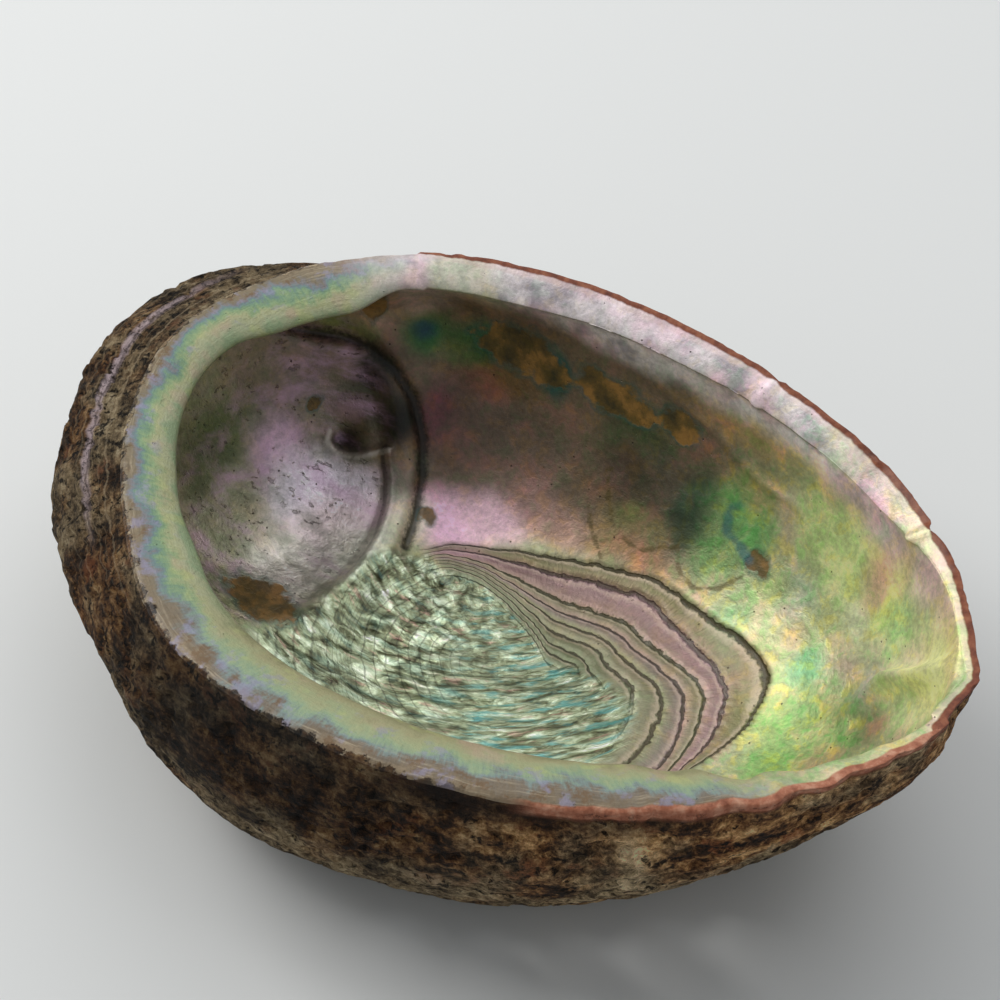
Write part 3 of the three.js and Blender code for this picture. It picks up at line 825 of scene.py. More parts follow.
def colour_values(wall, outer, cap_spot, span, spot, depth):
    """Numbers and vectors kept on the mesh for the colours."""
    out_rows, lip_rows = len(outer), len(outer) + CAP_ROWS
    width = wall["width"][-1:]
    down = np.linalg.norm(np.diff(outer, axis=0), axis=-1)[::-1]
    down = np.concatenate([np.zeros((1, COLUMNS)), np.cumsum(down, 0)])[::-1]
    edge_mm = np.concatenate([-down, span, width + depth])
    angle = np.broadcast_to(wall["angle"][-1:], edge_mm.shape)
    tint_spot = np.concatenate([cap_spot, spot])
    tint_depth = after(CAP_ROWS, 0.0, depth)
    count, _, terraces, foil = scar_fields(spot)
    cup = (1 - rise(cup_place(spot)[2], -3, 1)) * (spot[..., 0] < -50)
    cup_edge = from_path(spot[..., :2], CUP_EDGE)[0] + 4 * (1 - rise(spot[..., 1], 0, 12))
    overrun = np.min([from_path(spot, path)[0] for path in OVERRUNS], axis=0)
    turn = np.radians(angle)
    values = {
        "edge": edge_mm,
        "lip": np.broadcast_to(width, edge_mm.shape),
        "red_rim": red_edge(angle),
        "orange_rim": rise(angle, 300, 345) * (1 - rise(angle, 356, 359)),
        "old_lip": rise(angle, 128, 150) * (1 - rise(angle, 330, 346)),
        "near_lip": rise(angle, 222, 246),
        "bulge": lobe(angle, 185, 60) ** 0.5,
        "near_side": rise(angle, 275, 290) * (1 - rise(angle, 318, 332)),
        "frayed": rise(angle, 140, 160) * (1 - rise(angle, 288, 300)),
        "count": after(lip_rows, -3.0, count),
        "terraces": after(lip_rows, 0.0, terraces),
        "foil": after(lip_rows, 0.0, foil),
        "left_foil": after(lip_rows, 0.0, crumbly_part(spot)),
        "stain": after(out_rows, -2.0, stain_field(tint_spot)),
        "overrun": after(lip_rows, 9.0, overrun),
        "blue_line": after(lip_rows, 9.0, from_path(spot, BLUE_LINE)[0]),
        "cup": after(lip_rows, 0.0, cup),
        "cup_edge": after(lip_rows, 9.0, cup_edge),
        "hook": after(lip_rows, 9.0, from_path(spot[..., :2], HOOK)[0]),
        "cup_gap": after(lip_rows, 9.0, from_path(spot, CUP_GAP)[0]),
        # The silvery band, whose near white is partly painted reflection; it lowers the metal there.
        "silver": rise(lobe(angle, 95, 80), 0.02, 0.3) * (1 - rise(edge_mm, 9, 16)),
    }
    vectors = {
        "streak": after(lip_rows, 0.0, streak_place(spot)),
        "polar": after(lip_rows, 0.0, polar_place(spot)),
        "around": np.stack([85 * np.cos(turn), 85 * np.sin(turn), edge_mm * 0.2], -1),
        "tint": after(out_rows, 0.2, nacre_tint(tint_spot, angle[out_rows:], tint_depth)),
    }
    return values, vectors


def shell_mesh():
    """Points, the values kept for the colours, and the open cells. The holes are cut by
    leaving out matching cells outside and inside, after the cells' corners are moved."""
    outside, inside, first_out, first_in = row_places()
    rows = np.concatenate([outside, inside])
    grid_t = np.broadcast_to(np.arange(COLUMNS) / COLUMNS, (len(rows), COLUMNS)).copy()
    grid_s = np.broadcast_to(rows[:, None], grid_t.shape).copy()
    band_out = slice(first_out, first_out + BAND_ROWS)
    band_in = slice(first_in - CAP_ROWS, first_in - CAP_ROWS + BAND_ROWS)
    open_cells, new_t, new_s = cut_holes(grid_t[band_out], grid_s[band_out])
    grid_t[band_out], grid_s[band_out] = new_t, new_s
    grid_t[band_in], grid_s[band_in] = new_t[::-1], new_s[::-1]

    out_rows = len(outside)
    wall, outer_flat = outer_face(grid_t[:out_rows], grid_s[:out_rows])
    inner_wall, spot, inner_flat, depth = inner_face(grid_t[out_rows:], grid_s[out_rows:])
    outer = placed(wall, outer_flat)
    ripple = lip_ripples(inner_wall, depth)
    inner = placed(inner_wall, inner_flat + ripple[..., None] * np.array((-0.75, 0.6)))
    cap, cap_spot, span = lip_cap(wall, outer_flat[-1:], inner_flat[:1])
    values, vectors = colour_values(wall, outer, cap_spot, span, spot, depth)
    return np.concatenate([outer, cap, inner]), values, vectors, open_cells, first_out, first_in


def shell_faces(total_rows, open_cells, first_out, first_in):
    """Quads between the rows, fans at the poles, and the short walls of the holes."""
    ids = np.arange(total_rows * COLUMNS).reshape(total_rows, COLUMNS)
    right = np.roll(ids, -1, 1)
    quads = np.stack([ids[:-1], right[:-1], right[1:], ids[1:]], -1)
    keep = np.ones(quads.shape[:2], bool)
    cells_out = slice(first_out, first_out + BAND_ROWS - 1)
    cells_in = slice(first_in, first_in + BAND_ROWS - 1)
    keep[cells_out] = ~open_cells
    keep[cells_in] = ~open_cells[::-1]

    band_out = ids[first_out:first_out + BAND_ROWS]
    band_in = ids[first_in:first_in + BAND_ROWS][::-1]
    beside = np.roll(open_cells, -1, 1)
    before = np.roll(open_cells, 1, 1)
    above = np.vstack([open_cells[1:], np.zeros((1, COLUMNS), bool)])
    below = np.vstack([np.zeros((1, COLUMNS), bool), open_cells[:-1]])
    corners = {
        "a": (band_out[:-1], band_in[:-1]),
        "b": (np.roll(band_out, -1, 1)[:-1], np.roll(band_in, -1, 1)[:-1]),
        "c": (np.roll(band_out, -1, 1)[1:], np.roll(band_in, -1, 1)[1:]),
        "d": (band_out[1:], band_in[1:]),
    }
    walls = []
    for (one, other), neighbour in (
        (("a", "b"), below), (("b", "c"), beside), (("c", "d"), above), (("d", "a"), before),
    ):
        here = open_cells & ~neighbour
        walls.append(np.stack([
            corners[one][0][here], corners[other][0][here],
            corners[other][1][here], corners[one][1][here],
        ], -1))
    fans = [
        np.stack([np.full(COLUMNS, ids.size), right[0], ids[0]], -1),
        np.stack([np.full(COLUMNS, ids.size + 1), ids[-1], right[-1]], -1),
    ]
    return quads[keep], np.concatenate(walls), np.concatenate(fans)


def fitted(points):
    """From the shell's own millimetres to the frame's metres: the smooth rim and foot are
    laid on the box that the solid takes up."""
    low, high = (np.array(corner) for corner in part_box("shell"))
    t = np.arange(720) / 720
    wall = smooth_wall(*np.meshgrid(t, np.linspace(0, 1, 200)))
    smooth = placed(wall, wall["line"])
    plan_low, plan_high = smooth[..., :2].min((0, 1)), smooth[..., :2].max((0, 1))
    shift = (low + high)[:2] / 2 * 1000 - (plan_low + plan_high) / 2
    move = np.array((shift[0], shift[1], low[2] * 1000))
    return (points + move) / 1000, move


def make_shell():
    """The shell as one closed mesh."""
    points, values, vectors, open_cells, first_out, first_in = shell_mesh()
    quads, walls, fans = shell_faces(len(points), open_cells, first_out, first_in)
    ends = np.array([[*POLE, 0.0], [*POLE, WALL]])
    flat = np.concatenate([points.reshape(-1, 3), ends])
    low = points[0, :, 2].mean()
    flat[-2, 2] = low
    flat[-1, 2] = points[-1, :, 2].mean()
    used = np.zeros(len(flat), bool)
    for faces in (quads, walls, fans):
        used[faces.ravel()] = True
    new_ids = np.cumsum(used) - 1
    co, move = fitted(flat[used])
    co[:, 2] -= min(0, co[:, 2].min())

    four = np.concatenate([quads, walls])
    loops = np.concatenate([new_ids[four].ravel(), new_ids[fans].ravel()])
    sizes = np.concatenate([np.full(len(four), 4), np.full(len(fans), 3)])
    mesh = bpy.data.meshes.new("shell_wall")
    mesh.vertices.add(len(co))
    mesh.vertices.foreach_set("co", co.astype(np.float32).ravel())
    mesh.loops.add(len(loops))
    mesh.loops.foreach_set("vertex_index", loops.astype(np.int32))
    mesh.polygons.add(len(sizes))
    mesh.polygons.foreach_set("loop_start", (np.cumsum(sizes) - sizes).astype(np.int32))
    smooth = np.ones(len(sizes), bool)
    smooth[len(quads):len(four)] = False
    mesh.polygons.foreach_set("use_smooth", smooth)
    mesh.update(calc_edges=True)
    mesh.validate()

    for name, value in values.items():
        full = np.concatenate([value.ravel(), [value[0].mean(), value[-1].mean()]])[used]
        attribute = mesh.attributes.new(name, "FLOAT", "POINT")
        attribute.data.foreach_set("value", full.astype(np.float32))
    for name, value in vectors.items():
        full = np.concatenate([value.reshape(-1, 3), value[0].mean(0)[None], value[-1].mean(0)[None]])
        attribute = mesh.attributes.new(name, "FLOAT_VECTOR", "POINT")
        attribute.data.foreach_set("vector", full[used].astype(np.float32).ravel())
    inside_face = np.zeros(len(sizes), np.int32)
    inside_face[:len(quads)] = quads[:, 0] >= (OUT_LOW_ROWS + BAND_ROWS + OUT_HIGH_ROWS - 1) * COLUMNS
    inside_face[len(four) + COLUMNS:] = 1
    mesh.polygons.foreach_set("material_index", inside_face)
    made = bpy.data.objects.new("abalone_shell", mesh)
    bpy.context.scene.collection.objects.link(made)
    return made, move


# ---- shader maths ----

class Wire:
    """One output of a node, with the arithmetic that adds Math nodes."""

    def __init__(self, tree, socket=None):
        self.tree = tree
        self.socket = socket

    def node(self, kind, settings=None, inputs=None, output=0):
        """A new node: its settings are made first, then its inputs are set or linked."""
        made = self.tree.nodes.new("ShaderNode" + kind)
        for name, value in (settings or {}).items():
            if name == "stops":
                while len(made.color_ramp.elements) < len(value):
                    made.color_ramp.elements.new(1)
                for element, (place, colour) in zip(made.color_ramp.elements, value):
                    element.position = place
                    element.color = (*colour, 1)
            else:
                setattr(made, name, value)
        for place, value in (inputs or {}).items():
            if isinstance(value, Wire):
                self.tree.links.new(value.socket, made.inputs[place])
            else:
                made.inputs[place].default_value = value
        return Wire(self.tree, made.outputs[output])

    def math(self, operation, one, other=0.0):
        return self.node("Math", {"operation": operation}, {0: one, 1: other})

    def __add__(self, other):
        return self.math("ADD", self, other)

    def __radd__(self, other):
        return self.math("ADD", other, self)

    def __sub__(self, other):
        return self.math("SUBTRACT", self, other)

    def __rsub__(self, other):
        return self.math("SUBTRACT", other, self)

    def __mul__(self, other):
        return self.math("MULTIPLY", self, other)

    def __rmul__(self, other):
        return self.math("MULTIPLY", other, self)

    def __truediv__(self, other):
        return self.math("DIVIDE", self, other)

    def __abs__(self):
        return self.math("ABSOLUTE", self)

    def fraction(self):
        return self.math("FRACT", self)

    def most(self, other):
        return self.math("MAXIMUM", self, other)

    def rise(self, low, high):
        """0 below low, 1 above high, a smooth step between."""
        return self.node("MapRange", {"interpolation_type": "SMOOTHSTEP"},
                         {0: self, 1: low, 2: high, 3: 0.0, 4: 1.0})

    def fall(self, low, high):
        """1 below low, 0 above high."""
        return self.node("MapRange", {"interpolation_type": "SMOOTHSTEP"},
                         {0: self, 1: low, 2: high, 3: 1.0, 4: 0.0})

    def ramp(self, stops):
        """A colour by value: the stops are places and colours."""
        return self.node("ValToRGB", {"stops": stops}, {0: self})

    def mixed(self, colour, factor, blend="MIX"):
        """This colour with another laid over it by a factor."""
        if not isinstance(colour, Wire):
            colour = (*colour, 1)
        return self.node("Mix", {"data_type": "RGBA", "blend_type": blend},
                         {0: factor, 6: self, 7: colour}, 2)

    def times(self, number):
        """A colour made lighter or darker by a number or a wire."""
        return self.node("VectorMath", {"operation": "SCALE"}, {0: self, 3: number})

    def vector(self, operation, other):
        return self.node("VectorMath", {"operation": operation}, {0: self, 1: other})

    def kept(self, name, output=2):
        """A value stored on the mesh."""
        return self.node("Attribute", {"attribute_name": name}, output=output)

    def noise(self, place, size, detail=3.0, roughness=0.5, warp=0.0, stretch=None):
        """Cloudy noise from 0 to 1 with spots of the given size."""
        if stretch:
            place = place.vector("MULTIPLY", stretch)
        return self.node("TexNoise", None, {"Vector": place, "Scale": 1 / size, "Detail": detail,
                                            "Roughness": roughness, "Distortion": warp})

    def spots(self, place, size):
        """Distance to the nearest of scattered spots, in their own size."""
        return self.node("TexVoronoi", None, {"Vector": place, "Scale": 1 / size})


def start(name):
    """A new material: its shader, and a wire with the place in millimetres."""
    material = bpy.data.materials.new(name)
    material.use_nodes = True
    tree = material.node_tree
    place = Wire(tree).node("TexCoord", output=3).times(1000.0)
    return material, tree.nodes["Principled BSDF"], place


def wire_up(shader, **sockets):
    """Links wires into the shader's sockets, and sets plain numbers on them."""
    for name, value in sockets.items():
        socket = shader.inputs[name.replace("_", " ")]
        if isinstance(value, Wire):
            value.tree.links.new(value.socket, socket)
        else:
            socket.default_value = value


def bumped(height, distance, strength=1.0):
    """A normal from a height in units of the distance in metres."""
    return height.node("Bump", None, {"Strength": strength, "Distance": distance,
                                      "Height": height})


def east_of(place, low, high):
    """0 at the spire's side of low, 1 at the growing side of high."""
    return place.node("SeparateXYZ", None, {0: place}).rise(low, high)


def crust_colour(place):
    """Brown crust: clumps, fibres along the rim, dark pits, worn grey places and rusty ones.
    Gives its colour and its height."""
    edge, bulge, near = place.kept("edge"), place.kept("bulge"), place.kept("near_side")
    around = place.kept("around", 1)
    clump = place.noise(place, 9, 4, 0.62)
    fine = place.noise(place, 1.5, 6, 0.78)
    along = place.noise(around, 1.3, 4, 0.65, 0.3, stretch=(0.24, 0.24, 5.0))
    broad = place.noise(around, 5, 3, 0.6, 0.3, stretch=(0.3, 0.3, 5.0))
    tone = clump * 0.60 + fine * 0.66 + along * 0.26 + broad * 0.30 - 0.41
    brown = tone.ramp([
        (0.34, hue(14, 8, 4)), (0.43, hue(48, 30, 16)), (0.50, hue(92, 62, 36)),
        (0.58, hue(136, 102, 64)), (0.70, hue(188, 158, 114)),
    ])
    grey = tone.ramp([
        (0.34, hue(26, 20, 13)), (0.45, hue(78, 66, 48)), (0.56, hue(132, 117, 90)),
        (0.70, hue(180, 166, 138)),
    ])
    low = (0 - edge).rise(16, 36)
    worn = (place.noise(place, 17, 3) + 0.22 * low + 0.10 * bulge).rise(0.48, 0.70)
    colour = brown.mixed(grey, worn * 0.85)
    red = place.noise(place, 10, 4, 0.6).rise(0.54, 0.68) * (1 - low * 0.7)
    colour = colour.mixed(hue(104, 44, 20), red * 0.6 * tone.rise(0.4, 0.55))

    many = (place.noise(place, 8, 3) + 0.22 * bulge).rise(0.36, 0.58)
    ragged = place.noise(place, 1.9, 4, 0.6, 0.4)
    pits = ragged.fall(0.37, 0.45) * many
    colour = colour.mixed(hue(12, 7, 4), pits * 0.92)
    shaken = (clump - 0.5) * 4
    pale = abs(edge + 9.3 + shaken * 0.2).fall(0.5, 1.7) * bulge.rise(0.7, 0.98)
    colour = colour.mixed(hue(198, 178, 182), pale * fine.rise(0.34, 0.52) * 0.85)
    lines = place.noise(place.node("CombineXYZ", None, {0: edge + shaken, 1: 0.0, 2: 0.0}), 1.6, 3)
    collar = edge.rise(-22, -8) * bulge
    colour = colour.mixed(hue(176, 156, 126), lines.rise(0.52, 0.66) * collar * 0.5)
    colour = colour.mixed(hue(40, 28, 18), lines.fall(0.34, 0.47) * collar * 0.6)
    colour = colour.mixed(hue(26, 14, 7), edge.rise(-8, -1.5) * near * 0.8)
    east = east_of(place, 0, 60)
    colour = colour.mixed(colour.times(2.8), east.most(low * 0.45))
    colour = colour.times(1 - 0.5 * place.kept("near_lip") * (1 - east) * (1 - low))
    colour = colour.times(1 + 0.3 * bulge * edge.rise(-30, -14))
    height = (fine * 0.6 + along * 0.7 + clump * 0.4 + lines * collar * 0.5 - pits * 1.2)
    return colour, height


def rim_bands(place, colour, edge):
    """The red-brown edge of the thin outer lip, with a pale line inside it."""
    red_rim, orange_rim = place.kept("red_rim"), place.kept("orange_rim")
    wobble = (place.noise(place, 2.5, 3) - 0.5) * 0.9
    flecks = place.noise(place, 2.4, 5, 0.6)
    red = flecks.ramp([(0.3, hue(92, 42, 26)), (0.5, hue(130, 70, 46)), (0.7, hue(160, 100, 70))])
    orange = flecks.ramp([(0.3, hue(134, 74, 50)), (0.5, hue(176, 112, 84)), (0.7, hue(208, 156, 128))])
    rim_red = (edge + wobble - red_rim * 2.4).fall(-0.1, 0.4) * edge.rise(-3.2, -1.2)
    rim_red = rim_red * red_rim.rise(0.0, 0.1)
    reach = edge + wobble - orange_rim * 1.3
    rim_orange = reach.fall(0.4, 1.0) * edge.rise(-2.6, -1.2) * orange_rim.rise(0.0, 0.08)
    line = abs(edge + wobble - 0.7 - red_rim * 2.4).fall(0.3, 0.9) * red_rim
    colour = colour.mixed(hue(226, 196, 190), line * 0.7)
    colour = colour.mixed(red, rim_red).mixed(orange, rim_orange)
    return colour, rim_red.most(rim_orange)


def make_crust():
    """The outside: rough brown crust, with the red edge just over the rim."""
    material, shader, place = start("crust")
    colour, height = crust_colour(place)
    colour, rim = rim_bands(place, colour, place.kept("edge"))
    wire_up(shader, Base_Color=colour, Roughness=0.95 - 0.35 * rim,
            Normal=bumped(height * (1 - 0.7 * rim), 0.0034, 1.0))
    shader.inputs["Specular IOR Level"].default_value = 0.25
    return material


BROAD_LIP = [
    (0.00, hue(166, 146, 114)), (0.05, hue(112, 96, 72)), (0.14, hue(134, 118, 92)),
    (0.26, hue(122, 110, 86)), (0.34, hue(126, 124, 128)), (0.41, hue(108, 132, 134)),
    (0.48, hue(118, 150, 120)), (0.58, hue(142, 166, 120)), (0.72, hue(172, 174, 130)),
    (0.86, hue(172, 176, 140)), (1.00, hue(146, 164, 126)),
]
NEAR_LIP = [
    (0.00, hue(140, 122, 96)), (0.10, hue(122, 106, 82)), (0.22, hue(122, 112, 98)),
    (0.32, hue(126, 144, 140)), (0.44, hue(144, 166, 132)), (0.60, hue(162, 170, 128)),
    (0.80, hue(164, 160, 120)), (1.00, hue(144, 142, 104)),
]
TERRACE_TINTS = [
    (0.00, hue(108, 98, 68)), (0.05, hue(140, 124, 84)), (0.09, hue(136, 98, 80)),
    (0.10, hue(190, 134, 164)), (0.19, hue(170, 126, 126)), (0.20, hue(138, 142, 104)),
    (0.29, hue(172, 134, 128)), (0.30, hue(166, 128, 152)), (0.39, hue(144, 140, 106)),
    (0.40, hue(156, 144, 120)), (0.60, hue(150, 156, 124)), (1.00, hue(146, 152, 126)),
]
# The foil's ramp, dark to near white: its own mottling, with painted shade at the dark end and painted
# highlight at the white end.
FOIL_MOTTLE_AND_SHADE = [
    (0.34, hue(62, 64, 46)), (0.43, hue(102, 106, 80)), (0.51, hue(140, 150, 120)),
    (0.60, hue(184, 194, 168)), (0.74, hue(252, 252, 240)),
]


def lip_colour(place, edge):
    """The broad lip: a ramp across its width, its borders ragged with fine cross fibres.
    Gives its colour and its height."""
    around, share = place.kept("around", 1), edge / place.kept("lip")
    fibres = place.noise(around, 0.9, 3, 0.6)
    cloudy = place.noise(place, 7, 4, 0.6)
    ragged = (share + (fibres - 0.5) * 0.22 + (cloudy - 0.5) * 0.85
              + (place.noise(place, 17, 3) - 0.5) * 0.7)
    colour = ragged.ramp(BROAD_LIP).mixed(ragged.ramp(NEAR_LIP), place.kept("near_lip"))
    layers = place.noise(around, 0.55, 3, 0.6, stretch=(0.05, 0.05, 5.0))
    colour = colour.mixed(hue(198, 184, 158), layers.rise(0.52, 0.72) * ragged.fall(0.1, 0.5) * 0.5)
    colour = colour.mixed(hue(84, 70, 50), layers.fall(0.28, 0.46) * ragged.fall(0.1, 0.45) * 0.5)
    beige = place.noise(place, 8, 3).rise(0.52, 0.68) * share.rise(0.45, 0.7)
    colour = colour.mixed(hue(190, 160, 140), beige * 0.5)
    yellow = place.noise(place, 6, 3).fall(0.32, 0.45) * share.rise(0.4, 0.6)
    colour = colour.mixed(hue(182, 190, 122), yellow * 0.45)
    clumps = place.noise(place, 4.5, 5, 0.65).rise(0.54, 0.62) * ragged.fall(0.22, 0.42)
    colour = colour.mixed(hue(112, 82, 46), clumps * 0.7)
    lilac = place.noise(place, 5, 4, 0.6).rise(0.54, 0.66) * share.fall(0.5, 0.9)
    colour = colour.mixed(hue(150, 146, 176), lilac * 0.55)
    grain = place.noise(place, 0.9, 4, 0.7)
    colour = colour.times(0.78 + 0.25 * fibres + 0.22 * grain)
    return colour, grain * 0.5 + layers * 0.25 + fibres * 0.2 + cloudy * 0.3


def make_nacre():
    """The inside and the lips: iridescent nacre with terraces and foil on the muscle scar,
    brown stains, and the crust's ragged border on the lip."""
    material, shader, place = start("nacre")
    edge = place.kept("edge")
    old_lip, terraces, foil = place.kept("old_lip"), place.kept("terraces"), place.kept("foil")
    inward = edge - place.kept("lip")

    # Pearly ground.
    colour = place.kept("tint", 0)
    pearl, other = place.noise(place, 7, 5, 0.62, 0.3), place.noise(place, 4, 5, 0.66, 0.3)
    silk = place.noise(place, 1.3, 5, 0.7)
    cup, broad = place.kept("cup"), place.noise(place, 10, 3)
    lively = (0.28 + 0.36 * east_of(place, 0, 50)) * (1 - 0.5 * cup)
    colour = colour.mixed(hue(240, 170, 205), pearl.rise(0.48, 0.64) * lively, "SOFT_LIGHT")
    colour = colour.mixed(hue(110, 205, 140), other.rise(0.50, 0.64) * lively, "SOFT_LIGHT")
    colour = colour.mixed(hue(250, 225, 130), other.fall(0.36, 0.50) * lively, "SOFT_LIGHT")
    colour = colour.times(0.68 + 0.34 * silk.rise(0.3, 0.7) + 0.32 * pearl.rise(0.32, 0.66))
    streaky = place.noise(place, 6, 5, 0.62, 0.2, stretch=(0.4, 0.8, 1.2))
    colour = colour.mixed(hue(222, 176, 214), streaky.rise(0.44, 0.76) * cup * east_of(place, -92, -74) * 0.6)
    colour = colour.mixed(hue(96, 104, 78), streaky.fall(0.30, 0.52) * cup * 0.45)
    dots = place.spots(place, 2.3).fall(0.05, 0.12) * place.noise(place, 7, 2).rise(0.5, 0.62)
    specks = place.noise(place, 1.6, 3, 0.6, stretch=(0.5, 0.9, 1.2)).rise(0.60, 0.68)
    dots = dots.most(specks * cup * place.noise(place, 9, 2).rise(0.42, 0.56) * 0.5)
    colour = colour.mixed(hue(44, 32, 32), dots * 0.8)
    # Painted shade: near-black in the sunk gap beside the cup and in a line beside the cup's raised edge.
    gap = (place.kept("cup_gap") + (silk - 0.5) * 2).fall(0.4, 2.0)
    cup_edge_shade = abs(place.kept("cup_edge") - 1.1).fall(0.15, 0.7) * place.kept("cup").most(0.25)
    colour = colour.mixed(hue(14, 14, 12), (gap * 0.85).most(cup_edge_shade * 0.6))
    hook = (place.kept("hook") + (silk - 0.5) * 1.2).fall(0.1, 0.9)
    colour = colour.mixed(hue(206, 196, 186), hook * 0.65)

    # Terraces of the scar, with fine hatching across them. Each band is painted darker just past its line and
    # lighter towards the next, with a painted highlight just past each line; the dark line at each step is a
    # painted shadow of its riser.
    polar = place.kept("polar", 1)
    hatch = place.noise(polar, 0.7, 3, 0.6, stretch=(1.0, 0.16, 1.0))
    passed = place.kept("count") + (place.noise(place, 1.5, 4, 0.6) - 0.5) * 0.32
    part = passed.fraction()
    bands = (passed / 10).ramp(TERRACE_TINTS)
    ground = colour.mixed(bands, 0.7).times(0.6 + 0.48 * hatch).times(0.76 + 0.3 * part)
    line = part.fall(0.03, 0.15).most(part.rise(0.92, 0.99))
    ground = ground.mixed(hue(226, 202, 180), part.rise(0.12, 0.2) * part.fall(0.2, 0.42) * 0.35)
    ground = ground.mixed(hue(62, 52, 30), line * 0.85)
    colour = colour.mixed(ground, terraces)

    # Foil: crumbly at the left, streaked at the right. Its ramp follows the same noise as its bumps, from
    # dark in the hollows to near white on the crests, and it is lightened with the lumps: the foil's own
    # mottling with painted shade and painted highlight. The terrace lines' painted shadow runs faintly over
    # its crumbly part.
    streak = place.kept("streak", 1)
    streaks = place.noise(streak, 1.5, 5, 0.68, 0.9, stretch=(0.2, 1.0, 1.0))
    lumps = place.noise(streak, 3.4, 5, 0.62, 0.5, stretch=(0.45, 1.0, 1.0))
    left = place.kept("left_foil")
    texture = streaks * (1 - left) + lumps * left
    metal = texture.ramp(FOIL_MOTTLE_AND_SHADE)
    teal = place.noise(streak, 2.0, 3, 0.6, stretch=(0.2, 1.0, 1.0))
    metal = metal.mixed(hue(64, 152, 156), teal.rise(0.48, 0.66) * (0.65 - 0.5 * left))
    metal = metal.mixed(hue(196, 150, 140), teal.fall(0.30, 0.42) * 0.45)
    metal = metal.times(0.95 + 0.6 * lumps + 0.45 * broad.rise(0.38, 0.62))
    metal = metal.mixed(hue(52, 50, 38), line * left * 0.5)
    colour = colour.mixed(metal, foil)

    # Stains and overrun lines.
    shake = place.noise(place, 3.5, 4, 0.6) - 0.5
    stain = place.kept("stain") + shake * 1.1
    stained = stain.rise(-0.10, 0.16)
    brown = place.noise(place, 7, 4, 0.6).ramp([
        (0.36, hue(56, 44, 14)), (0.5, hue(104, 78, 26)), (0.62, hue(156, 112, 50))])
    colour = colour.mixed(hue(44, 96, 92), stain.rise(-0.34, -0.06) * 0.45)
    colour = colour.mixed(brown, stained * 0.9)
    overrun = (place.kept("overrun") + shake * 2.6).fall(0.1, 0.8)
    colour = colour.mixed(hue(84, 70, 24), overrun * 0.7)
    blue = (place.kept("blue_line") + shake * 2).fall(0.4, 1.8)
    colour = colour.mixed(hue(52, 108, 128), blue * 0.6)

    # Lips.
    lip, lip_height = lip_colour(place, edge)
    on_lip = inward.fall(-0.4, 0.5) * old_lip
    # Painted shade: a dark line along the inner edge of the lip, where it turns down into the bowl.
    lip_edge_shade = abs(inward - 1.0).fall(0.2, 0.9) * old_lip
    colour = colour.mixed(hue(20, 18, 14), lip_edge_shade * 0.65)
    colour = colour.mixed(lip, on_lip)
    colour, rim = rim_bands(place, colour, edge)
    crust, crust_height = crust_colour(place)
    frayed = (edge + (place.noise(place, 3.2, 4, 0.6) - 0.55) * 7).fall(0.1, 0.6) * place.kept("frayed")
    colour = colour.mixed(crust, frayed)

    dull = frayed.most(rim)
    # The silvery band, whose near white is partly painted reflection, is given less metal.
    silver = place.kept("silver")
    metallic = (0.45 * (1 - on_lip) * (1 - stained) * (1 - 0.8 * silver) + 0.3 * cup + 0.35 * foil
                + 0.12 * on_lip) * (1 - dull)
    roughness = 0.38 + 0.16 * on_lip + 0.14 * silk - 0.12 * foil - 0.06 * cup + dull * 0.45
    height = ((silk * 0.10 + other * 0.35) * (1 - foil) + line * terraces * -0.35 + hatch * terraces * 0.15
              + texture * foil * 0.9 + lip_height * on_lip * 0.5 + crust_height * frayed * 0.8
              - dots * 0.3 - stained * 0.1)
    wire_up(shader, Base_Color=colour, Metallic=metallic, Roughness=roughness,
            Normal=bumped(height, 0.0012, 0.8))
    shader.inputs["Coat Weight"].default_value = 0.25
    shader.inputs["Coat Roughness"].default_value = 0.2
    return material


shell, shell_move = make_shell()
shell.data.materials.append(make_crust())
shell.data.materials.append(make_nacre())

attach(shell, "root")
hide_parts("shell")


# ---- floor, lights and camera ----

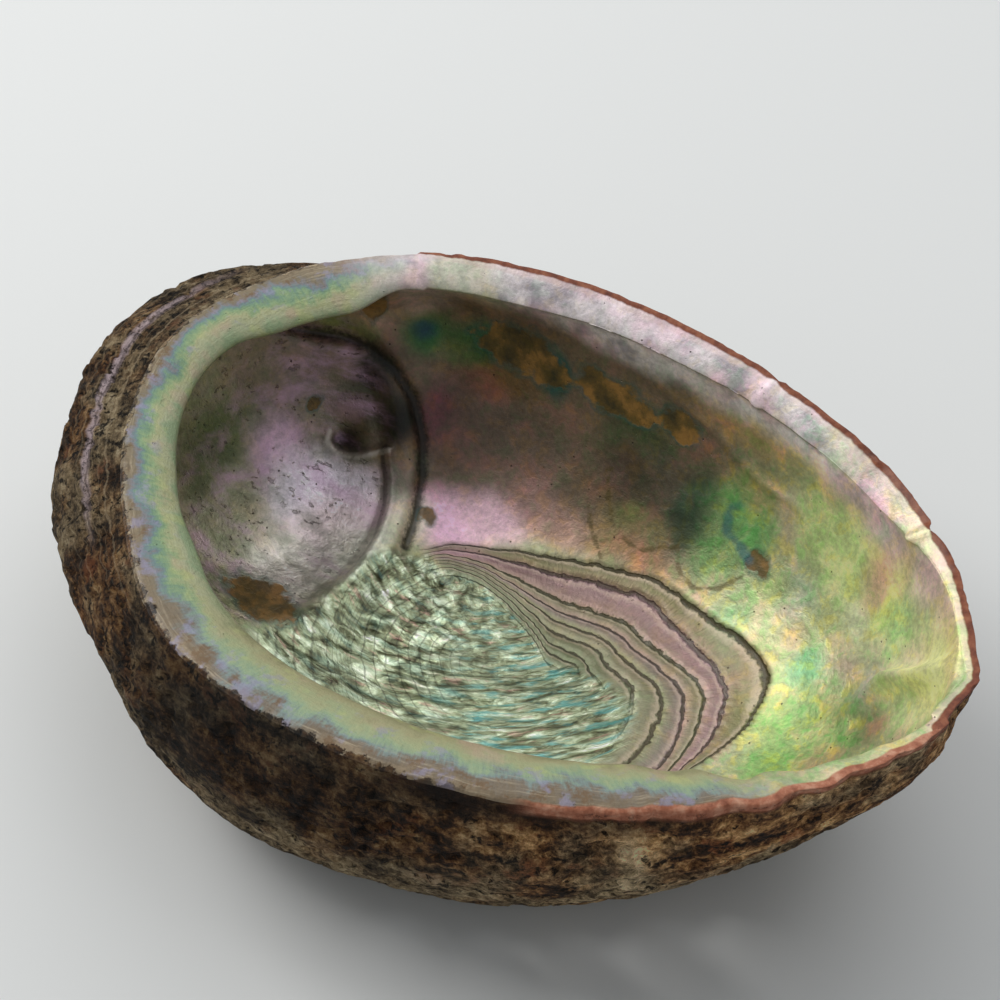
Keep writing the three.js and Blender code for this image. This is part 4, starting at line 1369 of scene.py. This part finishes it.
def make_floor():
    """A plain pale floor."""
    mesh = bpy.data.meshes.new("floor")
    mesh.from_pydata([(-6, -6, 0), (6, -6, 0), (6, 6, 0), (-6, 6, 0)], [], [(0, 1, 2, 3)])
    floor = bpy.data.objects.new("floor", mesh)
    bpy.context.scene.collection.objects.link(floor)
    paint = bpy.data.materials.new("pale_floor")
    paint.use_nodes = True
    shader = paint.node_tree.nodes["Principled BSDF"]
    shader.inputs["Base Color"].default_value = (0.78, 0.79, 0.785, 1)
    shader.inputs["Roughness"].default_value = 0.8
    mesh.materials.append(paint)


def make_lamp(name, place, aim, size, power, colour=(1, 1, 1)):
    """A square soft lamp at a place, turned to its aim."""
    lamp = bpy.data.lights.new(name, "AREA")
    lamp.size = size
    lamp.energy = power
    lamp.color = colour
    holder = bpy.data.objects.new(name, lamp)
    holder.location = place
    holder.rotation_euler = (Vector(aim) - Vector(place)).to_track_quat("-Z", "Y").to_euler()
    bpy.context.scene.collection.objects.link(holder)


def make_camera():
    """The camera stands to the right of the front and looks down into the bowl."""
    aim = Vector(((np.array((-11.63, 7.55, 59.0)) + shell_move) / 1000).tolist())
    azimuth, elevation, distance = math.radians(31.08), math.radians(46.92), 0.4884
    back = Vector((
        math.sin(azimuth) * math.cos(elevation),
        -math.cos(azimuth) * math.cos(elevation),
        math.sin(elevation),
    ))
    lens = bpy.data.cameras.new("camera")
    lens.lens = 85.8
    lens.clip_start = 0.01
    camera = bpy.data.objects.new("camera", lens)
    camera.location = aim + back * distance
    camera.rotation_euler = (-back).to_track_quat("-Z", "Y").to_euler()
    bpy.context.scene.collection.objects.link(camera)
    bpy.context.scene.camera = camera


make_floor()
make_lamp("left_window", (-1.1, -0.05, 1.08), (0, 0, 0), 0.9, 13.5, (1, 0.99, 0.97))
make_lamp("back_light", (-0.1, 0.85, 1.3), (0, 0, 0), 1.7, 9)
world = bpy.data.worlds.new("room")
world.use_nodes = True
world.node_tree.nodes["Background"].inputs["Color"].default_value = (0.75, 0.78, 0.8, 1)
world.node_tree.nodes["Background"].inputs["Strength"].default_value = 0.41
bpy.context.scene.world = world
bpy.context.scene.view_settings.view_transform = "Standard"
make_camera()
